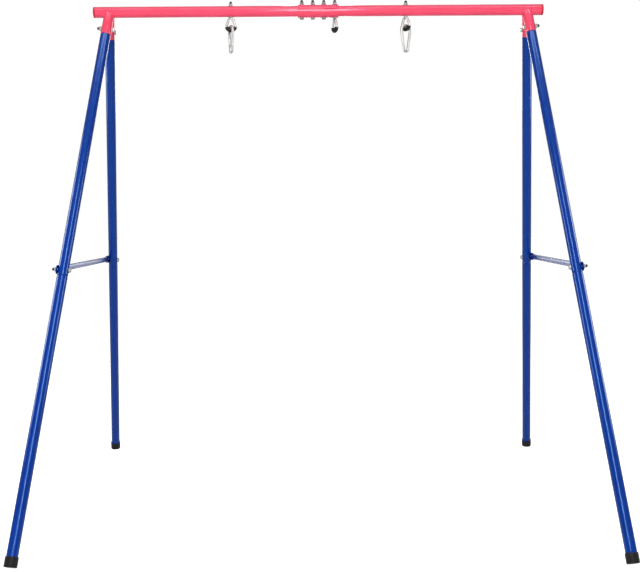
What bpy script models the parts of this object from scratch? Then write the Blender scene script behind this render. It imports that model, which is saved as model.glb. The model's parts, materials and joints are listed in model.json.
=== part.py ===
"""A-frame swing stand: a tube beam in two halves on two splayed A-frames, with eyebolts and snap hooks.

Metres, +Z up. The origin lies on the floor under the middle of the beam. +X runs along the beam, and -Y is
the side that the photograph shows.
"""

import math

import bmesh
import bpy
from mathutils import Matrix, Vector

# Clearance between pieces that touch, and the merge distance of turned shapes
GAP = 0.0003
MERGE = 0.00001

# Stand
BEAM_HEIGHT = 1.745
BEAM_LENGTH = 1.592
APEX_INSET = 0.056
SPLAY = math.radians(5.5)
HALF_ANGLE = math.radians(23.6)

# Tubes
BEAM_RADIUS = 0.019
BEAM_WALL = 0.0015
LEG_RADIUS = 0.0175
LEG_WALL = 0.0012
BRACE_RADIUS = 0.010
BRACE_WALL = 0.0012

# Leg joints, measured from the beam's axis along a leg
SOCKET_REACH = 0.094
SOCKET_BOLT = 0.070
JOINT_BOLT = 0.979
JOINT_LAP = 0.020
NECK_LENGTH = 0.052
NECK_CLEARANCE = 0.002
SWAGE_LENGTH = 0.003
WELD_DEPTH = 0.0007

# Brace
BRACE_FLAT = 0.0032
BRACE_TIP = 0.020
BRACE_TAPER = 0.035
BRACE_MARGIN = 0.001

# Foot caps
CAP_WALL = 0.002
CAP_HEIGHT = 0.031
CAP_FLOOR = 0.005
CAP_FILLET = 0.0025
CAP_RIM = 0.0007
SOLE_DEPTH = 0.0025

# End plugs of the beam
PLUG_FLANGE = 0.007
PLUG_FILLET = 0.002
PLUG_SPIGOT = 0.020
PLUG_WALL = 0.002

# Coupling
COUPLING_LENGTH = 0.144
COUPLING_WALL = 0.0035
COUPLING_SEAM = 0.0066
COUPLING_MARGIN = 0.0135

# Fasteners
BOLT_RADIUS = 0.004
HEX_FLATS = 0.013
HEAD_HEIGHT = 0.0053
NUT_HEIGHT = 0.0065
WASHER_RADIUS = 0.0085
WASHER_THICKNESS = 0.0015
THREAD_END = 0.006
NUT_CAP_WALL = 0.0008
NUT_CAP_FILLET = 0.0012
FUSED = 0.0003

# Eyebolts: the ring's sizes are those of the middle of its wire
EYE_WIRE = 0.0042
EYE_TOP_RADIUS = 0.0095
EYE_BOTTOM_RADIUS = 0.015
EYE_DROP = 0.041
EYE_SPACING = 0.310
LEFT_EYE_TURN = math.radians(0)
CENTRE_EYE_TURN = math.radians(-66)
RIGHT_EYE_TURN = math.radians(-40)
BUSH_WALL = 0.0025

# Snap hooks: the bows' sizes are those of the middle of the wire
HOOK_WIRE = 0.005
HOOK_TOP_RADIUS = 0.0185
HOOK_BOTTOM_RADIUS = 0.0085
HOOK_CENTRES = 0.063
NOSE_LENGTH = 0.006
PIVOT_DROP = 0.048
LEFT_HOOK_TURN = math.radians(115)
RIGHT_HOOK_TURN = math.radians(31)
LEFT_HOOK_LIFT = 0.0018
RIGHT_HOOK_LIFT = 0.0010
HOOK_BALANCE = 0.00069

# Gates of the snap hooks, measured along the gate from its pivot
GATE_RADIUS = 0.0048
GATE_END = 0.0050
SHOULDER_PLAY = 0.0004
TANG_RADIUS = 0.0043
TANG_THICKNESS = 0.0034
TANG_ROOT = 0.002
SLOT_DEPTH = 0.0025
TONGUE_LENGTH = 0.0036
TONGUE_THICKNESS = 0.0026
TONGUE_OUTER = 0.0012
TONGUE_INNER = 0.004
TONGUE_PLAY = 0.0008
PIN_RADIUS = 0.0015
PIN_HEAD_RADIUS = 0.0023
PIN_HEAD = 0.0008
PIN_CROWN_RADIUS = 0.0016
BORE_RADIUS = 0.0026
BORE_DEPTH = 0.027
PLUNGER_LENGTH = 0.0074
SPRING_TURNS = 6
SPRING_WIRE = 0.00035
SPRING_RADIUS = 0.00185

# Facets
BEAM_SIDES = 24
LEG_SIDES = 16
BOLT_SIDES = 8
WASHER_SIDES = 8
GATE_SIDES = 12
FILLET_STEPS = 3
BRACE_STEPS = 5
BRACE_TAPER_STEPS = 4
BRACE_TIP_STEPS = 8
HOOK_TOP_STEPS = 14
HOOK_BOTTOM_STEPS = 8
TANG_STEPS = 8
FORK_STEPS = 10
SPRING_TURN_STEPS = 8

# How many times its own size a cutter or a form reaches past what it cuts, and how far a form's edge
# stands clear of the edge that it keeps
OVERREACH = 2.5
FORM_PLAY = 0.00002

QUARTER = math.pi / 2
HALF_TURN = math.pi
FULL_TURN = 2 * math.pi


def clear_scene():
    """Remove what the scene holds."""
    for obj in list(bpy.data.objects):
        bpy.data.objects.remove(obj, do_unlink=True)
    for mesh in list(bpy.data.meshes):
        bpy.data.meshes.remove(mesh)


def new_collection(name):
    """A collection under the scene's own."""
    collection = bpy.data.collections.new(name)
    bpy.context.scene.collection.children.link(collection)
    return collection


def new_material(name, colour, roughness, metallic):
    """A Principled material."""
    material = bpy.data.materials.new(name)
    material.use_nodes = True
    shader = material.node_tree.nodes["Principled BSDF"]
    shader.inputs["Base Color"].default_value = (*colour, 1)
    shader.inputs["Roughness"].default_value = roughness
    shader.inputs["Metallic"].default_value = metallic
    return material


clear_scene()
STAND = new_collection("a_frame_swing_stand")
CUTTERS = new_collection("cutters")
PINK_PAINT = new_material("pink_paint", (1.0, 0.095, 0.18), 0.25, 0)
BLUE_PAINT = new_material("blue_paint", (0.003, 0.03, 0.24), 0.25, 0)
BLACK_PLASTIC = new_material("black_plastic", (0.02, 0.019, 0.02), 0.45, 0)
RED_PLASTIC = new_material("red_plastic", (0.62, 0.02, 0.03), 0.4, 0)
ZINC = new_material("zinc", (0.78, 0.78, 0.76), 0.3, 1)
SPRING_STEEL = new_material("spring_steel", (0.55, 0.55, 0.56), 0.35, 1)


def place(mesh, name, material, parent=None, location=(0, 0, 0), rotation=(0, 0, 0)):
    """One named piece of the stand."""
    obj = bpy.data.objects.new(name, mesh)
    if not mesh.materials:
        mesh.materials.append(material)
    obj.parent = parent
    obj.location = location
    obj.rotation_euler = rotation
    STAND.objects.link(obj)
    return obj


def frame_empty(name, parent=None, location=(0, 0, 0), rotation=(0, 0, 0)):
    """An empty that carries pieces."""
    empty = bpy.data.objects.new(name, None)
    empty.parent = parent
    empty.location = location
    empty.rotation_euler = rotation
    empty.empty_display_size = 0.05
    STAND.objects.link(empty)
    return empty


def world_matrix(obj):
    """The object's place in the world, with what was moved since the last update."""
    bpy.context.view_layer.update()
    return obj.matrix_world.copy()


def cutter(mesh, name, matrix):
    """A hidden shape that joins or cuts others."""
    obj = bpy.data.objects.new(name, mesh)
    obj.matrix_world = matrix
    obj.hide_render = True
    obj.display_type = "WIRE"
    CUTTERS.objects.link(obj)
    return obj


def boolean(obj, operation, tool, solver="EXACT"):
    """A live Boolean on the object."""
    modifier = obj.modifiers.new(tool.name, "BOOLEAN")
    modifier.operation = operation
    modifier.object = tool
    modifier.solver = solver


def taken_mesh(obj, name):
    """The object's evaluated shape as a plain mesh. The object is removed."""
    bpy.context.view_layer.update()
    graph = bpy.context.evaluated_depsgraph_get()
    mesh = bpy.data.meshes.new_from_object(obj.evaluated_get(graph))
    mesh.name = name
    bpy.data.objects.remove(obj, do_unlink=True)
    return mesh


def shade_round(mesh):
    """Smooth shading with sharp edges past 35 degrees."""
    mesh.shade_smooth()
    mesh.set_sharp_from_angle(angle=math.radians(35))


def turned_mesh(name, profile, sides, ring=False):
    """A profile of (radius, height) turned about Z. It runs down its outer side, and a ring's closes."""
    edges = [(index, index + 1) for index in range(len(profile) - 1)]
    if ring:
        edges.append((len(profile) - 1, 0))
    outline = bpy.data.meshes.new(name + "_profile")
    outline.from_pydata([(radius, 0, height) for radius, height in profile], edges, [])
    obj = bpy.data.objects.new(name, outline)
    STAND.objects.link(obj)
    screw = obj.modifiers.new("turn", "SCREW")
    screw.steps = sides
    screw.render_steps = sides
    screw.use_merge_vertices = True
    screw.merge_threshold = MERGE
    mesh = taken_mesh(obj, name)
    shade_round(mesh)
    return mesh


def rod_mesh(name, radius, low, high, sides):
    """A cylinder along Z between two heights."""
    return turned_mesh(name, [(0, high), (radius, high), (radius, low), (0, low)], sides)


def tube_mesh(name, radius, bore, low, high, sides):
    """A tube along Z between two heights."""
    return turned_mesh(name, [(radius, high), (radius, low), (bore, low), (bore, high)], sides, ring=True)


def box_mesh(name, low, high):
    """A box between two corners."""
    low = Vector(low)
    high = Vector(high)
    box = bmesh.new()
    bmesh.ops.create_cube(box, size=1)
    bmesh.ops.scale(box, vec=high - low, verts=box.verts)
    bmesh.ops.translate(box, vec=(high + low) / 2, verts=box.verts)
    mesh = bpy.data.meshes.new(name)
    box.to_mesh(mesh)
    box.free()
    return mesh


def curve_mesh(name, curve):
    """The closed mesh of a curve, its caps welded."""
    obj = bpy.data.objects.new(name, curve)
    STAND.objects.link(obj)
    mesh = taken_mesh(obj, name)
    weld = bmesh.new()
    weld.from_mesh(mesh)
    bmesh.ops.remove_doubles(weld, verts=weld.verts, dist=MERGE)
    weld.to_mesh(mesh)
    weld.free()
    return mesh


def wire_mesh(name, points, radius, resolution, closed=False):
    """A round wire through the points."""
    curve = bpy.data.curves.new(name, "CURVE")
    curve.dimensions = "3D"
    curve.bevel_depth = radius
    curve.bevel_resolution = resolution
    curve.use_fill_caps = True
    spline = curve.splines.new("POLY")
    spline.points.add(len(points) - 1)
    for point, place_on_route in zip(spline.points, points):
        point.co = (*place_on_route, 1)
    spline.use_cyclic_u = closed
    mesh = curve_mesh(name, curve)
    shade_round(mesh)
    return mesh


def plate_mesh(name, outline, thickness):
    """A flat outline in XY with the thickness along Z."""
    curve = bpy.data.curves.new(name, "CURVE")
    curve.dimensions = "2D"
    curve.fill_mode = "BOTH"
    curve.extrude = thickness / 2
    spline = curve.splines.new("POLY")
    spline.points.add(len(outline) - 1)
    for point, corner in zip(spline.points, outline):
        point.co = (corner[0], corner[1], 0, 1)
    spline.use_cyclic_u = True
    mesh = curve_mesh(name, curve)
    shade_round(mesh)
    return mesh


def combined_mesh(name, mesh, operation, tools):
    """The mesh with others joined to it or cut from it."""
    obj = bpy.data.objects.new(name, mesh)
    STAND.objects.link(obj)
    helpers = []
    for tool in tools:
        helper = bpy.data.objects.new(name + "_tool", tool)
        STAND.objects.link(helper)
        boolean(obj, operation, helper)
        helpers.append(helper)
    result = taken_mesh(obj, name)
    for helper in helpers:
        bpy.data.objects.remove(helper, do_unlink=True)
    return result


def circle_points(centre, radius, start, end, steps):
    """Points of an arc as (across, up), from one angle to another."""
    angles = [start + (end - start) * step / steps for step in range(steps + 1)]
    return [(centre[0] + radius * math.cos(angle), centre[1] + radius * math.sin(angle)) for angle in angles]


def in_xz(points):
    """Points of (across, up) as places in the XZ plane."""
    return [Vector((across, 0, up)) for across, up in points]


def clear_bore(radius, sides):
    """The corner radius of a bore whose flats clear a round shaft by the gap."""
    return (radius + GAP) / math.cos(HALF_TURN / sides)


# Beam and legs: sizes that follow from the ones above
APEX_X = BEAM_LENGTH / 2 - APEX_INSET
NECK_RADIUS = LEG_RADIUS - LEG_WALL - GAP
NECK_TOP = (NECK_RADIUS * math.cos(HALF_ANGLE) + NECK_CLEARANCE) / math.sin(HALF_ANGLE)
CAP_BORE = LEG_RADIUS + GAP
CAP_RADIUS = CAP_BORE + CAP_WALL
LEAN = math.acos(math.cos(HALF_ANGLE) * math.cos(SPLAY))
CAP_RISE = (CAP_RADIUS - CAP_FILLET) * math.sin(LEAN) + CAP_FILLET * (1 - math.cos(LEAN)) - SOLE_DEPTH
CAP_PLACE = (BEAM_HEIGHT - CAP_RISE) / math.cos(LEAN)
BOLT_HOLE = clear_bore(BOLT_RADIUS, BOLT_SIDES)


def carrying_empties():
    """The empties of the two A-frames and their four legs, by side and by end (-1 front, 1 back)."""
    frames = {}
    legs = {}
    for side, side_name in ((-1, "left"), (1, "right")):
        turn = HALF_TURN if side < 0 else 0
        frame = frame_empty(f"a_frame_{side_name}", None, (side * APEX_X, 0, BEAM_HEIGHT), (0, -SPLAY, turn))
        frames[side] = frame
        for end, end_name in ((-1, "front"), (1, "back")):
            tilt = (end * side * HALF_ANGLE, 0, 0)
            legs[side, end] = frame_empty(f"leg_{side_name}_{end_name}", frame, (0, 0, 0), tilt)
    return frames, legs


A_FRAMES, LEGS = carrying_empties()
NAMES = {-1: "left", 1: "right"}
ENDS = {-1: "front", 1: "back"}


def bolt_matrix(side, end, reach):
    """A bolt through a leg: its own Z is the A-frame's outward normal."""
    return world_matrix(LEGS[side, end]) @ Matrix.Translation((0, 0, -reach)) @ Matrix.Rotation(QUARTER, 4, "Y")


HOLE_REACH = OVERREACH * BEAM_RADIUS
HOLE_MESH = rod_mesh("bolt_hole", BOLT_HOLE, -HOLE_REACH, HOLE_REACH, BOLT_SIDES)
HOLE_MESH.transform(Matrix.Rotation(HALF_TURN / BOLT_SIDES, 4, "Z"))
SOCKET_BOLTS = {key: bolt_matrix(*key, SOCKET_BOLT) for key in LEGS}
JOINT_BOLTS = {key: bolt_matrix(*key, JOINT_BOLT) for key in LEGS}
SOCKET_HOLES = {
    key: cutter(HOLE_MESH, f"socket_hole_{NAMES[key[0]]}_{ENDS[key[1]]}", matrix)
    for key, matrix in SOCKET_BOLTS.items()
}
JOINT_HOLES = {
    key: cutter(HOLE_MESH, f"joint_hole_{NAMES[key[0]]}_{ENDS[key[1]]}", matrix)
    for key, matrix in JOINT_BOLTS.items()
}

# Bolts and eyebolts along the beam: the coupling's fourth bolt is the centre eyebolt
COUPLING_BOLTS = 4
CENTRE_EYE_X = COUPLING_LENGTH / 2 - COUPLING_MARGIN
COUPLING_PITCH = 2 * CENTRE_EYE_X / (COUPLING_BOLTS - 1)
COUPLING_XS = [COUPLING_PITCH * step - CENTRE_EYE_X for step in range(COUPLING_BOLTS - 1)]
EYE_XS = (-EYE_SPACING, CENTRE_EYE_X, EYE_SPACING)


def beam_point(x):
    """The place on the beam's axis at this distance from the middle."""
    return Matrix.Translation((x, 0, BEAM_HEIGHT))


BEAM_HOLES = [
    cutter(HOLE_MESH, f"beam_hole_{index}", beam_point(x)) for index, x in enumerate([*COUPLING_XS, *EYE_XS])
]


def build_beam():
    """The two beam halves, each with its welded pair of leg sockets: one is coped and cut, then mirrored."""
    outer = BEAM_LENGTH / 2 - PLUG_FLANGE - GAP
    tube = tube_mesh("beam_tube", BEAM_RADIUS, BEAM_RADIUS - BEAM_WALL, GAP / 2, outer, BEAM_SIDES)
    core = rod_mesh("beam_core", BEAM_RADIUS - WELD_DEPTH, -BEAM_LENGTH, BEAM_LENGTH, BEAM_SIDES)
    core_tool = cutter(core, "beam_core", beam_point(0) @ Matrix.Rotation(QUARTER, 4, "Y"))
    socket = tube_mesh("socket", LEG_RADIUS, LEG_RADIUS - LEG_WALL, -SOCKET_REACH, 0, LEG_SIDES)
    for side, name in NAMES.items():
        half = place(tube, f"beam_{name}", PINK_PAINT, None, (0, 0, BEAM_HEIGHT), (0, side * QUARTER, 0))
        pair = cutter(socket, f"sockets_{name}", world_matrix(LEGS[side, side]))
        boolean(pair, "DIFFERENCE", core_tool)
        mirror = pair.modifiers.new("other_end", "MIRROR")
        mirror.use_axis = (False, True, False)
        mirror.use_bisect_axis = (False, True, False)
        mirror.mirror_object = A_FRAMES[side]
        mirror.merge_threshold = MERGE
        boolean(half, "UNION", pair)
        holes = [SOCKET_HOLES[side, end] for end in ENDS]
        holes += [hole for hole in BEAM_HOLES if hole.location.x * side > 0]
        for hole in holes:
            boolean(half, "DIFFERENCE", hole, "MANIFOLD")


def build_plugs():
    """The red plug in each end of the beam."""
    spigot = BEAM_RADIUS - BEAM_WALL - GAP
    fillet = circle_points(
        (BEAM_RADIUS - PLUG_FILLET, PLUG_FLANGE - PLUG_FILLET), PLUG_FILLET, QUARTER, 0, FILLET_STEPS
    )
    hollow = spigot - PLUG_WALL
    profile = [(0, PLUG_FLANGE), *fillet, (BEAM_RADIUS, 0), (spigot, 0), (spigot, -PLUG_SPIGOT)]
    profile += [(hollow, -PLUG_SPIGOT), (hollow, 0), (0, 0)]
    mesh = turned_mesh("beam_plug", profile, BEAM_SIDES)
    for side, name in NAMES.items():
        x = side * (BEAM_LENGTH / 2 - PLUG_FLANGE)
        place(mesh, f"beam_plug_{name}", RED_PLASTIC, None, (x, 0, BEAM_HEIGHT), (0, side * QUARTER, 0))


SHELL_STEPS = 12
SHELL_BORE = (BEAM_RADIUS + GAP) / math.cos(HALF_TURN / 2 / SHELL_STEPS)
SHELL_RADIUS = SHELL_BORE + COUPLING_WALL


def build_coupling():
    """The two half-round shells that clamp the beam halves end to end."""
    outer_start = math.asin(COUPLING_SEAM / 2 / SHELL_RADIUS)
    inner_start = math.asin(COUPLING_SEAM / 2 / SHELL_BORE)
    outline = circle_points((0, 0), SHELL_RADIUS, outer_start, HALF_TURN - outer_start, SHELL_STEPS)
    outline += circle_points((0, 0), SHELL_BORE, HALF_TURN - inner_start, inner_start, SHELL_STEPS)
    mesh = plate_mesh("coupling_shell", outline, COUPLING_LENGTH)
    for name, turn in (("upper", QUARTER), ("lower", -QUARTER)):
        shell = place(mesh, f"coupling_{name}", PINK_PAINT, None, (0, 0, BEAM_HEIGHT), (turn, 0, QUARTER))
        for hole in BEAM_HOLES:
            if abs(hole.location.x) < COUPLING_LENGTH / 2:
                boolean(shell, "DIFFERENCE", hole)


def leg_tube_mesh(name, neck, length):
    """A leg piece along Z: its neck rises from a shoulder at 0, and its tube goes down."""
    profile = [(NECK_RADIUS, neck), (NECK_RADIUS, 0), (LEG_RADIUS, -SWAGE_LENGTH), (LEG_RADIUS, -length)]
    bore = [(radius - LEG_WALL, height) for radius, height in reversed(profile)]
    return turned_mesh(name, profile + bore, LEG_SIDES, ring=True)


def foot_cap_mesh():
    """A cup for the end of a leg, its rounded bottom at 0."""
    fillet = circle_points((CAP_RADIUS - CAP_FILLET, CAP_FILLET), CAP_FILLET, 0, -QUARTER, FILLET_STEPS)
    profile = [(0, CAP_FLOOR), (CAP_BORE, CAP_FLOOR), (CAP_BORE, CAP_HEIGHT), (CAP_RADIUS - CAP_RIM, CAP_HEIGHT)]
    profile += [(CAP_RADIUS, CAP_HEIGHT - CAP_RIM), *fillet, (0, 0)]
    return turned_mesh("foot_cap", profile, LEG_SIDES)


def build_legs():
    """Upper and lower leg pieces and the foot caps."""
    upper_start = SOCKET_REACH + GAP
    upper_end = JOINT_BOLT + JOINT_LAP
    lower_start = upper_end + GAP
    lower_length = CAP_PLACE - CAP_FLOOR - GAP - lower_start
    upper = leg_tube_mesh("upper_leg", upper_start - NECK_TOP, upper_end - upper_start)
    lower = leg_tube_mesh("lower_leg", NECK_LENGTH, lower_length)
    cap = foot_cap_mesh()
    reach = BEAM_LENGTH + BEAM_HEIGHT
    floor = cutter(box_mesh("floor", (-reach, -reach, -CAP_HEIGHT), (reach, reach, 0)), "floor", Matrix())
    for (side, end), leg in LEGS.items():
        name = f"{NAMES[side]}_{ENDS[end]}"
        piece = place(upper, f"upper_leg_{name}", BLUE_PAINT, leg, (0, 0, -upper_start))
        boolean(piece, "DIFFERENCE", SOCKET_HOLES[side, end])
        boolean(piece, "DIFFERENCE", JOINT_HOLES[side, end])
        piece = place(lower, f"lower_leg_{name}", BLUE_PAINT, leg, (0, 0, -lower_start))
        boolean(piece, "DIFFERENCE", JOINT_HOLES[side, end])
        foot = place(cap, f"foot_cap_{name}", BLACK_PLASTIC, leg, (0, 0, -CAP_PLACE))
        boolean(foot, "DIFFERENCE", floor)


def brace_section(across, half_thickness, half_height):
    """A flattened tube's outline: two half circles of the half thickness, drawn apart to the half height."""
    shift = half_height - half_thickness
    ring = circle_points((0, shift), half_thickness, 0, HALF_TURN, BRACE_STEPS)
    ring += circle_points((0, -shift), half_thickness, HALF_TURN, FULL_TURN, BRACE_STEPS)
    return [Vector((thick, across, high)) for thick, high in ring]


def brace_stations(half_flat, half_length):
    """(place along the brace, half thickness) from one end to the other."""
    stations = [(half_length, BRACE_FLAT / 2)]
    for step in range(BRACE_TAPER_STEPS + 1):
        share = step / BRACE_TAPER_STEPS
        eased = share * share * (3 - 2 * share)
        thickness = BRACE_FLAT / 2 + (BRACE_RADIUS - BRACE_FLAT / 2) * eased
        stations.append((half_flat - BRACE_TAPER * share, thickness))
    return [(-across, thickness) for across, thickness in stations] + stations[::-1]


def brace_mesh(half_flat, half_length):
    """A tube whose ends are pressed flat: the wall keeps its length round the section."""
    tube = bmesh.new()
    skins = []
    for inset in (0, BRACE_WALL):
        rings = []
        for across, half_thickness in brace_stations(half_flat, half_length):
            half_height = half_thickness + QUARTER * (BRACE_RADIUS - half_thickness)
            section = brace_section(across, half_thickness - inset, half_height - inset)
            rings.append([tube.verts.new(point) for point in section])
        skins.append(rings)
    outer, inner = skins
    loops = outer + inner[::-1]
    loops.append(outer[0])
    for ring, following in zip(loops, loops[1:]):
        for index in range(len(ring)):
            after = (index + 1) % len(ring)
            tube.faces.new((ring[index], ring[after], following[after], following[index]))
    bmesh.ops.recalc_face_normals(tube, faces=tube.faces)
    mesh = bpy.data.meshes.new("brace")
    tube.to_mesh(mesh)
    tube.free()
    shade_round(mesh)
    return mesh


def build_braces():
    """The brace on the outer side of each A-frame, its flat ends under the joint bolts' nuts."""
    drop = JOINT_BOLT * math.cos(HALF_ANGLE)
    bolt_y = JOINT_BOLT * math.sin(HALF_ANGLE)
    passing = LEG_RADIUS / math.cos(HALF_ANGLE) + BRACE_RADIUS * math.tan(HALF_ANGLE)
    half_flat = bolt_y - passing - BRACE_MARGIN
    half_length = bolt_y + BRACE_TIP
    tip = BRACE_FLAT / 2 + QUARTER * (BRACE_RADIUS - BRACE_FLAT / 2)
    mesh = brace_mesh(half_flat, half_length)
    ends = circle_points((half_length - tip, 0), tip + FORM_PLAY, -QUARTER, QUARTER, BRACE_TIP_STEPS)
    outline = ends + [(-across, -up) for across, up in ends]
    form = plate_mesh("brace_form", outline, 2 * OVERREACH * BRACE_RADIUS)
    outward = LEG_RADIUS + GAP + BRACE_FLAT / 2
    for side, name in NAMES.items():
        brace = place(mesh, f"brace_{name}", BLUE_PAINT, A_FRAMES[side], (outward, 0, -drop))
        turn = Matrix(((0, 0, 1, 0), (1, 0, 0, 0), (0, 1, 0, 0), (0, 0, 0, 1)))
        boolean(brace, "INTERSECT", cutter(form, f"brace_form_{name}", world_matrix(brace) @ turn))
        for end in ENDS:
            boolean(brace, "DIFFERENCE", JOINT_HOLES[side, end])


def hexagon_radius():
    """The corner radius of the fasteners' hexagon."""
    return HEX_FLATS / 2 / math.cos(HALF_TURN / 6)


def head_mesh(name, low_seat, end):
    """A hexagon bolt along Z with its washer. The seat is measured from the tube's axis."""
    washer_top = -low_seat - GAP
    under_head = washer_top - WASHER_THICKNESS
    head = rod_mesh("head", hexagon_radius(), under_head - HEAD_HEIGHT, under_head + FUSED, 6)
    washer = rod_mesh("head_washer", WASHER_RADIUS, under_head, washer_top, WASHER_SIDES)
    shank = rod_mesh("shank", BOLT_RADIUS, under_head - HEAD_HEIGHT / 2, end, BOLT_SIDES)
    return combined_mesh(name, head, "UNION", [washer, shank])


def nut_mesh(name, high_seat, bored=True):
    """A nut with its washer and the cap over the thread's end, above a seat measured from the tube's axis."""
    foot = high_seat + GAP
    nut_foot = foot + WASHER_THICKNESS
    nut_top = nut_foot + NUT_HEIGHT
    inside = nut_top + THREAD_END + GAP
    top = inside + NUT_CAP_WALL
    radius = BOLT_HOLE + NUT_CAP_WALL
    fillet = circle_points((radius - NUT_CAP_FILLET, top - NUT_CAP_FILLET), NUT_CAP_FILLET, QUARTER, 0, 1)
    washer = rod_mesh("nut_washer", WASHER_RADIUS, foot, nut_foot, WASHER_SIDES)
    hexagon = rod_mesh("hexagon", hexagon_radius(), nut_foot - FUSED, nut_top, 6)
    cap_foot = nut_top - FUSED
    cap = turned_mesh("nut_cap", [(0, top), *fillet, (radius, cap_foot), (0, cap_foot)], WASHER_SIDES)
    body = combined_mesh(name, washer, "UNION", [hexagon, cap])
    if not bored:
        return body
    bore = rod_mesh("nut_bore", BOLT_HOLE, foot - NUT_HEIGHT, inside, BOLT_SIDES)
    return combined_mesh(name, body, "DIFFERENCE", [bore])


def thread_end(high_seat):
    """How far a bolt reaches past the tube's axis."""
    return high_seat + GAP + WASHER_THICKNESS + NUT_HEIGHT + THREAD_END


def place_at(mesh, name, material, matrix):
    """One piece at a place in the world."""
    return place(mesh, name, material, None, matrix.to_translation(), matrix.to_euler())


def build_bolts():
    """The bolts and nuts of the sockets and leg joints, and the coupling's bolts with their nuts on."""
    brace_seat = LEG_RADIUS + GAP + BRACE_FLAT
    for group, places, high_seat in (
        ("socket", SOCKET_BOLTS, LEG_RADIUS),
        ("joint", JOINT_BOLTS, brace_seat),
    ):
        bolt = head_mesh(f"{group}_bolt", LEG_RADIUS, thread_end(high_seat))
        nut = nut_mesh(f"{group}_nut", high_seat)
        for (side, end), matrix in places.items():
            place_at(bolt, f"{group}_bolt_{NAMES[side]}_{ENDS[end]}", ZINC, matrix)
            place_at(nut, f"{group}_nut_{NAMES[side]}_{ENDS[end]}", ZINC, matrix)
    bolt = head_mesh("coupling_bolt", SHELL_RADIUS, thread_end(SHELL_RADIUS))
    nut = nut_mesh("coupling_nut", SHELL_RADIUS, bored=False)
    bolt = combined_mesh("coupling_bolt", bolt, "UNION", [nut])
    for name, x in zip(("left_outer", "left_inner", "right_inner"), COUPLING_XS):
        place_at(bolt, f"coupling_bolt_{name}", ZINC, beam_point(x))


# Eyebolts: an eye's own origin is the lowest point of the middle of its wire
EYE_LOWER_STEPS = 14
EYE_UPPER_STEPS = 6
BUSH_STEPS = 5
BUSH_RADIUS = EYE_WIRE + GAP + BUSH_WALL


def eye_depth(seat):
    """How far the eye's origin lies under the beam's axis, for a seat this far from the axis."""
    return seat + GAP + WASHER_THICKNESS - FUSED + EYE_WIRE + EYE_DROP


def eye_lower_bend():
    """The round bottom of the eye, past its widest points to where the straight sides start."""
    centres = EYE_DROP - EYE_TOP_RADIUS - EYE_BOTTOM_RADIUS
    lean = math.asin((EYE_BOTTOM_RADIUS - EYE_TOP_RADIUS) / centres)
    return circle_points((0, EYE_BOTTOM_RADIUS), EYE_BOTTOM_RADIUS, -HALF_TURN - lean, lean, EYE_LOWER_STEPS), lean


def eye_route():
    """The middle of the eye's wire, a pear that stands on its wide end."""
    lower, lean = eye_lower_bend()
    centre = (0, EYE_DROP - EYE_TOP_RADIUS)
    return in_xz(lower + circle_points(centre, EYE_TOP_RADIUS, lean, HALF_TURN - lean, EYE_UPPER_STEPS))


def eyebolt_mesh(seat):
    """An eye with its threaded shank, which rises through the beam."""
    ring = wire_mesh("eye", eye_route(), EYE_WIRE, 2, closed=True)
    shank = rod_mesh("eye_shank", BOLT_RADIUS, EYE_DROP, eye_depth(seat) + thread_end(seat), BOLT_SIDES)
    washer_top = eye_depth(seat) - seat - GAP
    washer = rod_mesh("eye_washer", WASHER_RADIUS, washer_top - WASHER_THICKNESS, washer_top, WASHER_SIDES)
    return combined_mesh("eyebolt", ring, "UNION", [shank, washer])


def bush_mesh():
    """The black bush round the eye's lowest bend."""
    middle = EYE_LOWER_STEPS // 2
    bend = in_xz(eye_lower_bend()[0][middle - BUSH_STEPS : middle + BUSH_STEPS + 1])
    sleeve = wire_mesh("bush", bend, BUSH_RADIUS, 2)
    bore = wire_mesh("bush_bore", eye_route(), EYE_WIRE + GAP, 2, closed=True)
    return combined_mesh("bush", sleeve, "DIFFERENCE", [bore])


EYES = (
    ("left", -EYE_SPACING, LEFT_EYE_TURN, BEAM_RADIUS),
    ("centre", CENTRE_EYE_X, CENTRE_EYE_TURN, SHELL_RADIUS),
    ("right", EYE_SPACING, RIGHT_EYE_TURN, BEAM_RADIUS),
)


def build_eyes():
    """The three eyebolts with their bushes and nuts."""
    bush = bush_mesh()
    for name, x, turn, seat in EYES:
        location = (x, 0, BEAM_HEIGHT - eye_depth(seat))
        place(eyebolt_mesh(seat), f"eyebolt_{name}", ZINC, None, location, (0, 0, turn))
        place(bush, f"eye_bush_{name}", BLACK_PLASTIC, None, location, (0, 0, turn))
        place_at(nut_mesh("eye_nut", seat), f"eye_nut_{name}", ZINC, beam_point(x))


# Snap hooks: a hook's own origin is the lowest point of the middle of the eye's wire, on which it hangs.
# Its own XZ plane holds the wire, and the gate is on its +X side.
HOOK_LEAN = math.asin((HOOK_TOP_RADIUS - HOOK_BOTTOM_RADIUS) / HOOK_CENTRES)
GATE_DOWN = Vector((-math.sin(HOOK_LEAN), 0, -math.cos(HOOK_LEAN)))
GATE_OUT = Vector((math.cos(HOOK_LEAN), 0, -math.sin(HOOK_LEAN)))
NOSE_PLACE = PIVOT_DROP - NOSE_LENGTH
GATE_LENGTH = math.sqrt((NOSE_PLACE - GAP) ** 2 - GATE_RADIUS**2)
SHOULDER = GATE_END + SHOULDER_PLAY
SLOT_TOP = TANG_RADIUS + SLOT_DEPTH
PLUNGER_START = TANG_RADIUS + GAP
SPRING_START = PLUNGER_START + PLUNGER_LENGTH + GAP
SPRING_END = BORE_DEPTH - GAP


def hook_centre(lift):
    """The middle of the hook's top bow."""
    return Vector((HOOK_BALANCE, 0, BUSH_RADIUS + HOOK_WIRE + GAP + lift - HOOK_TOP_RADIUS))


def hook_pivot(lift):
    """The gate's pivot in the hook's plane."""
    return hook_centre(lift) + HOOK_TOP_RADIUS * GATE_OUT + PIVOT_DROP * GATE_DOWN


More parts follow.
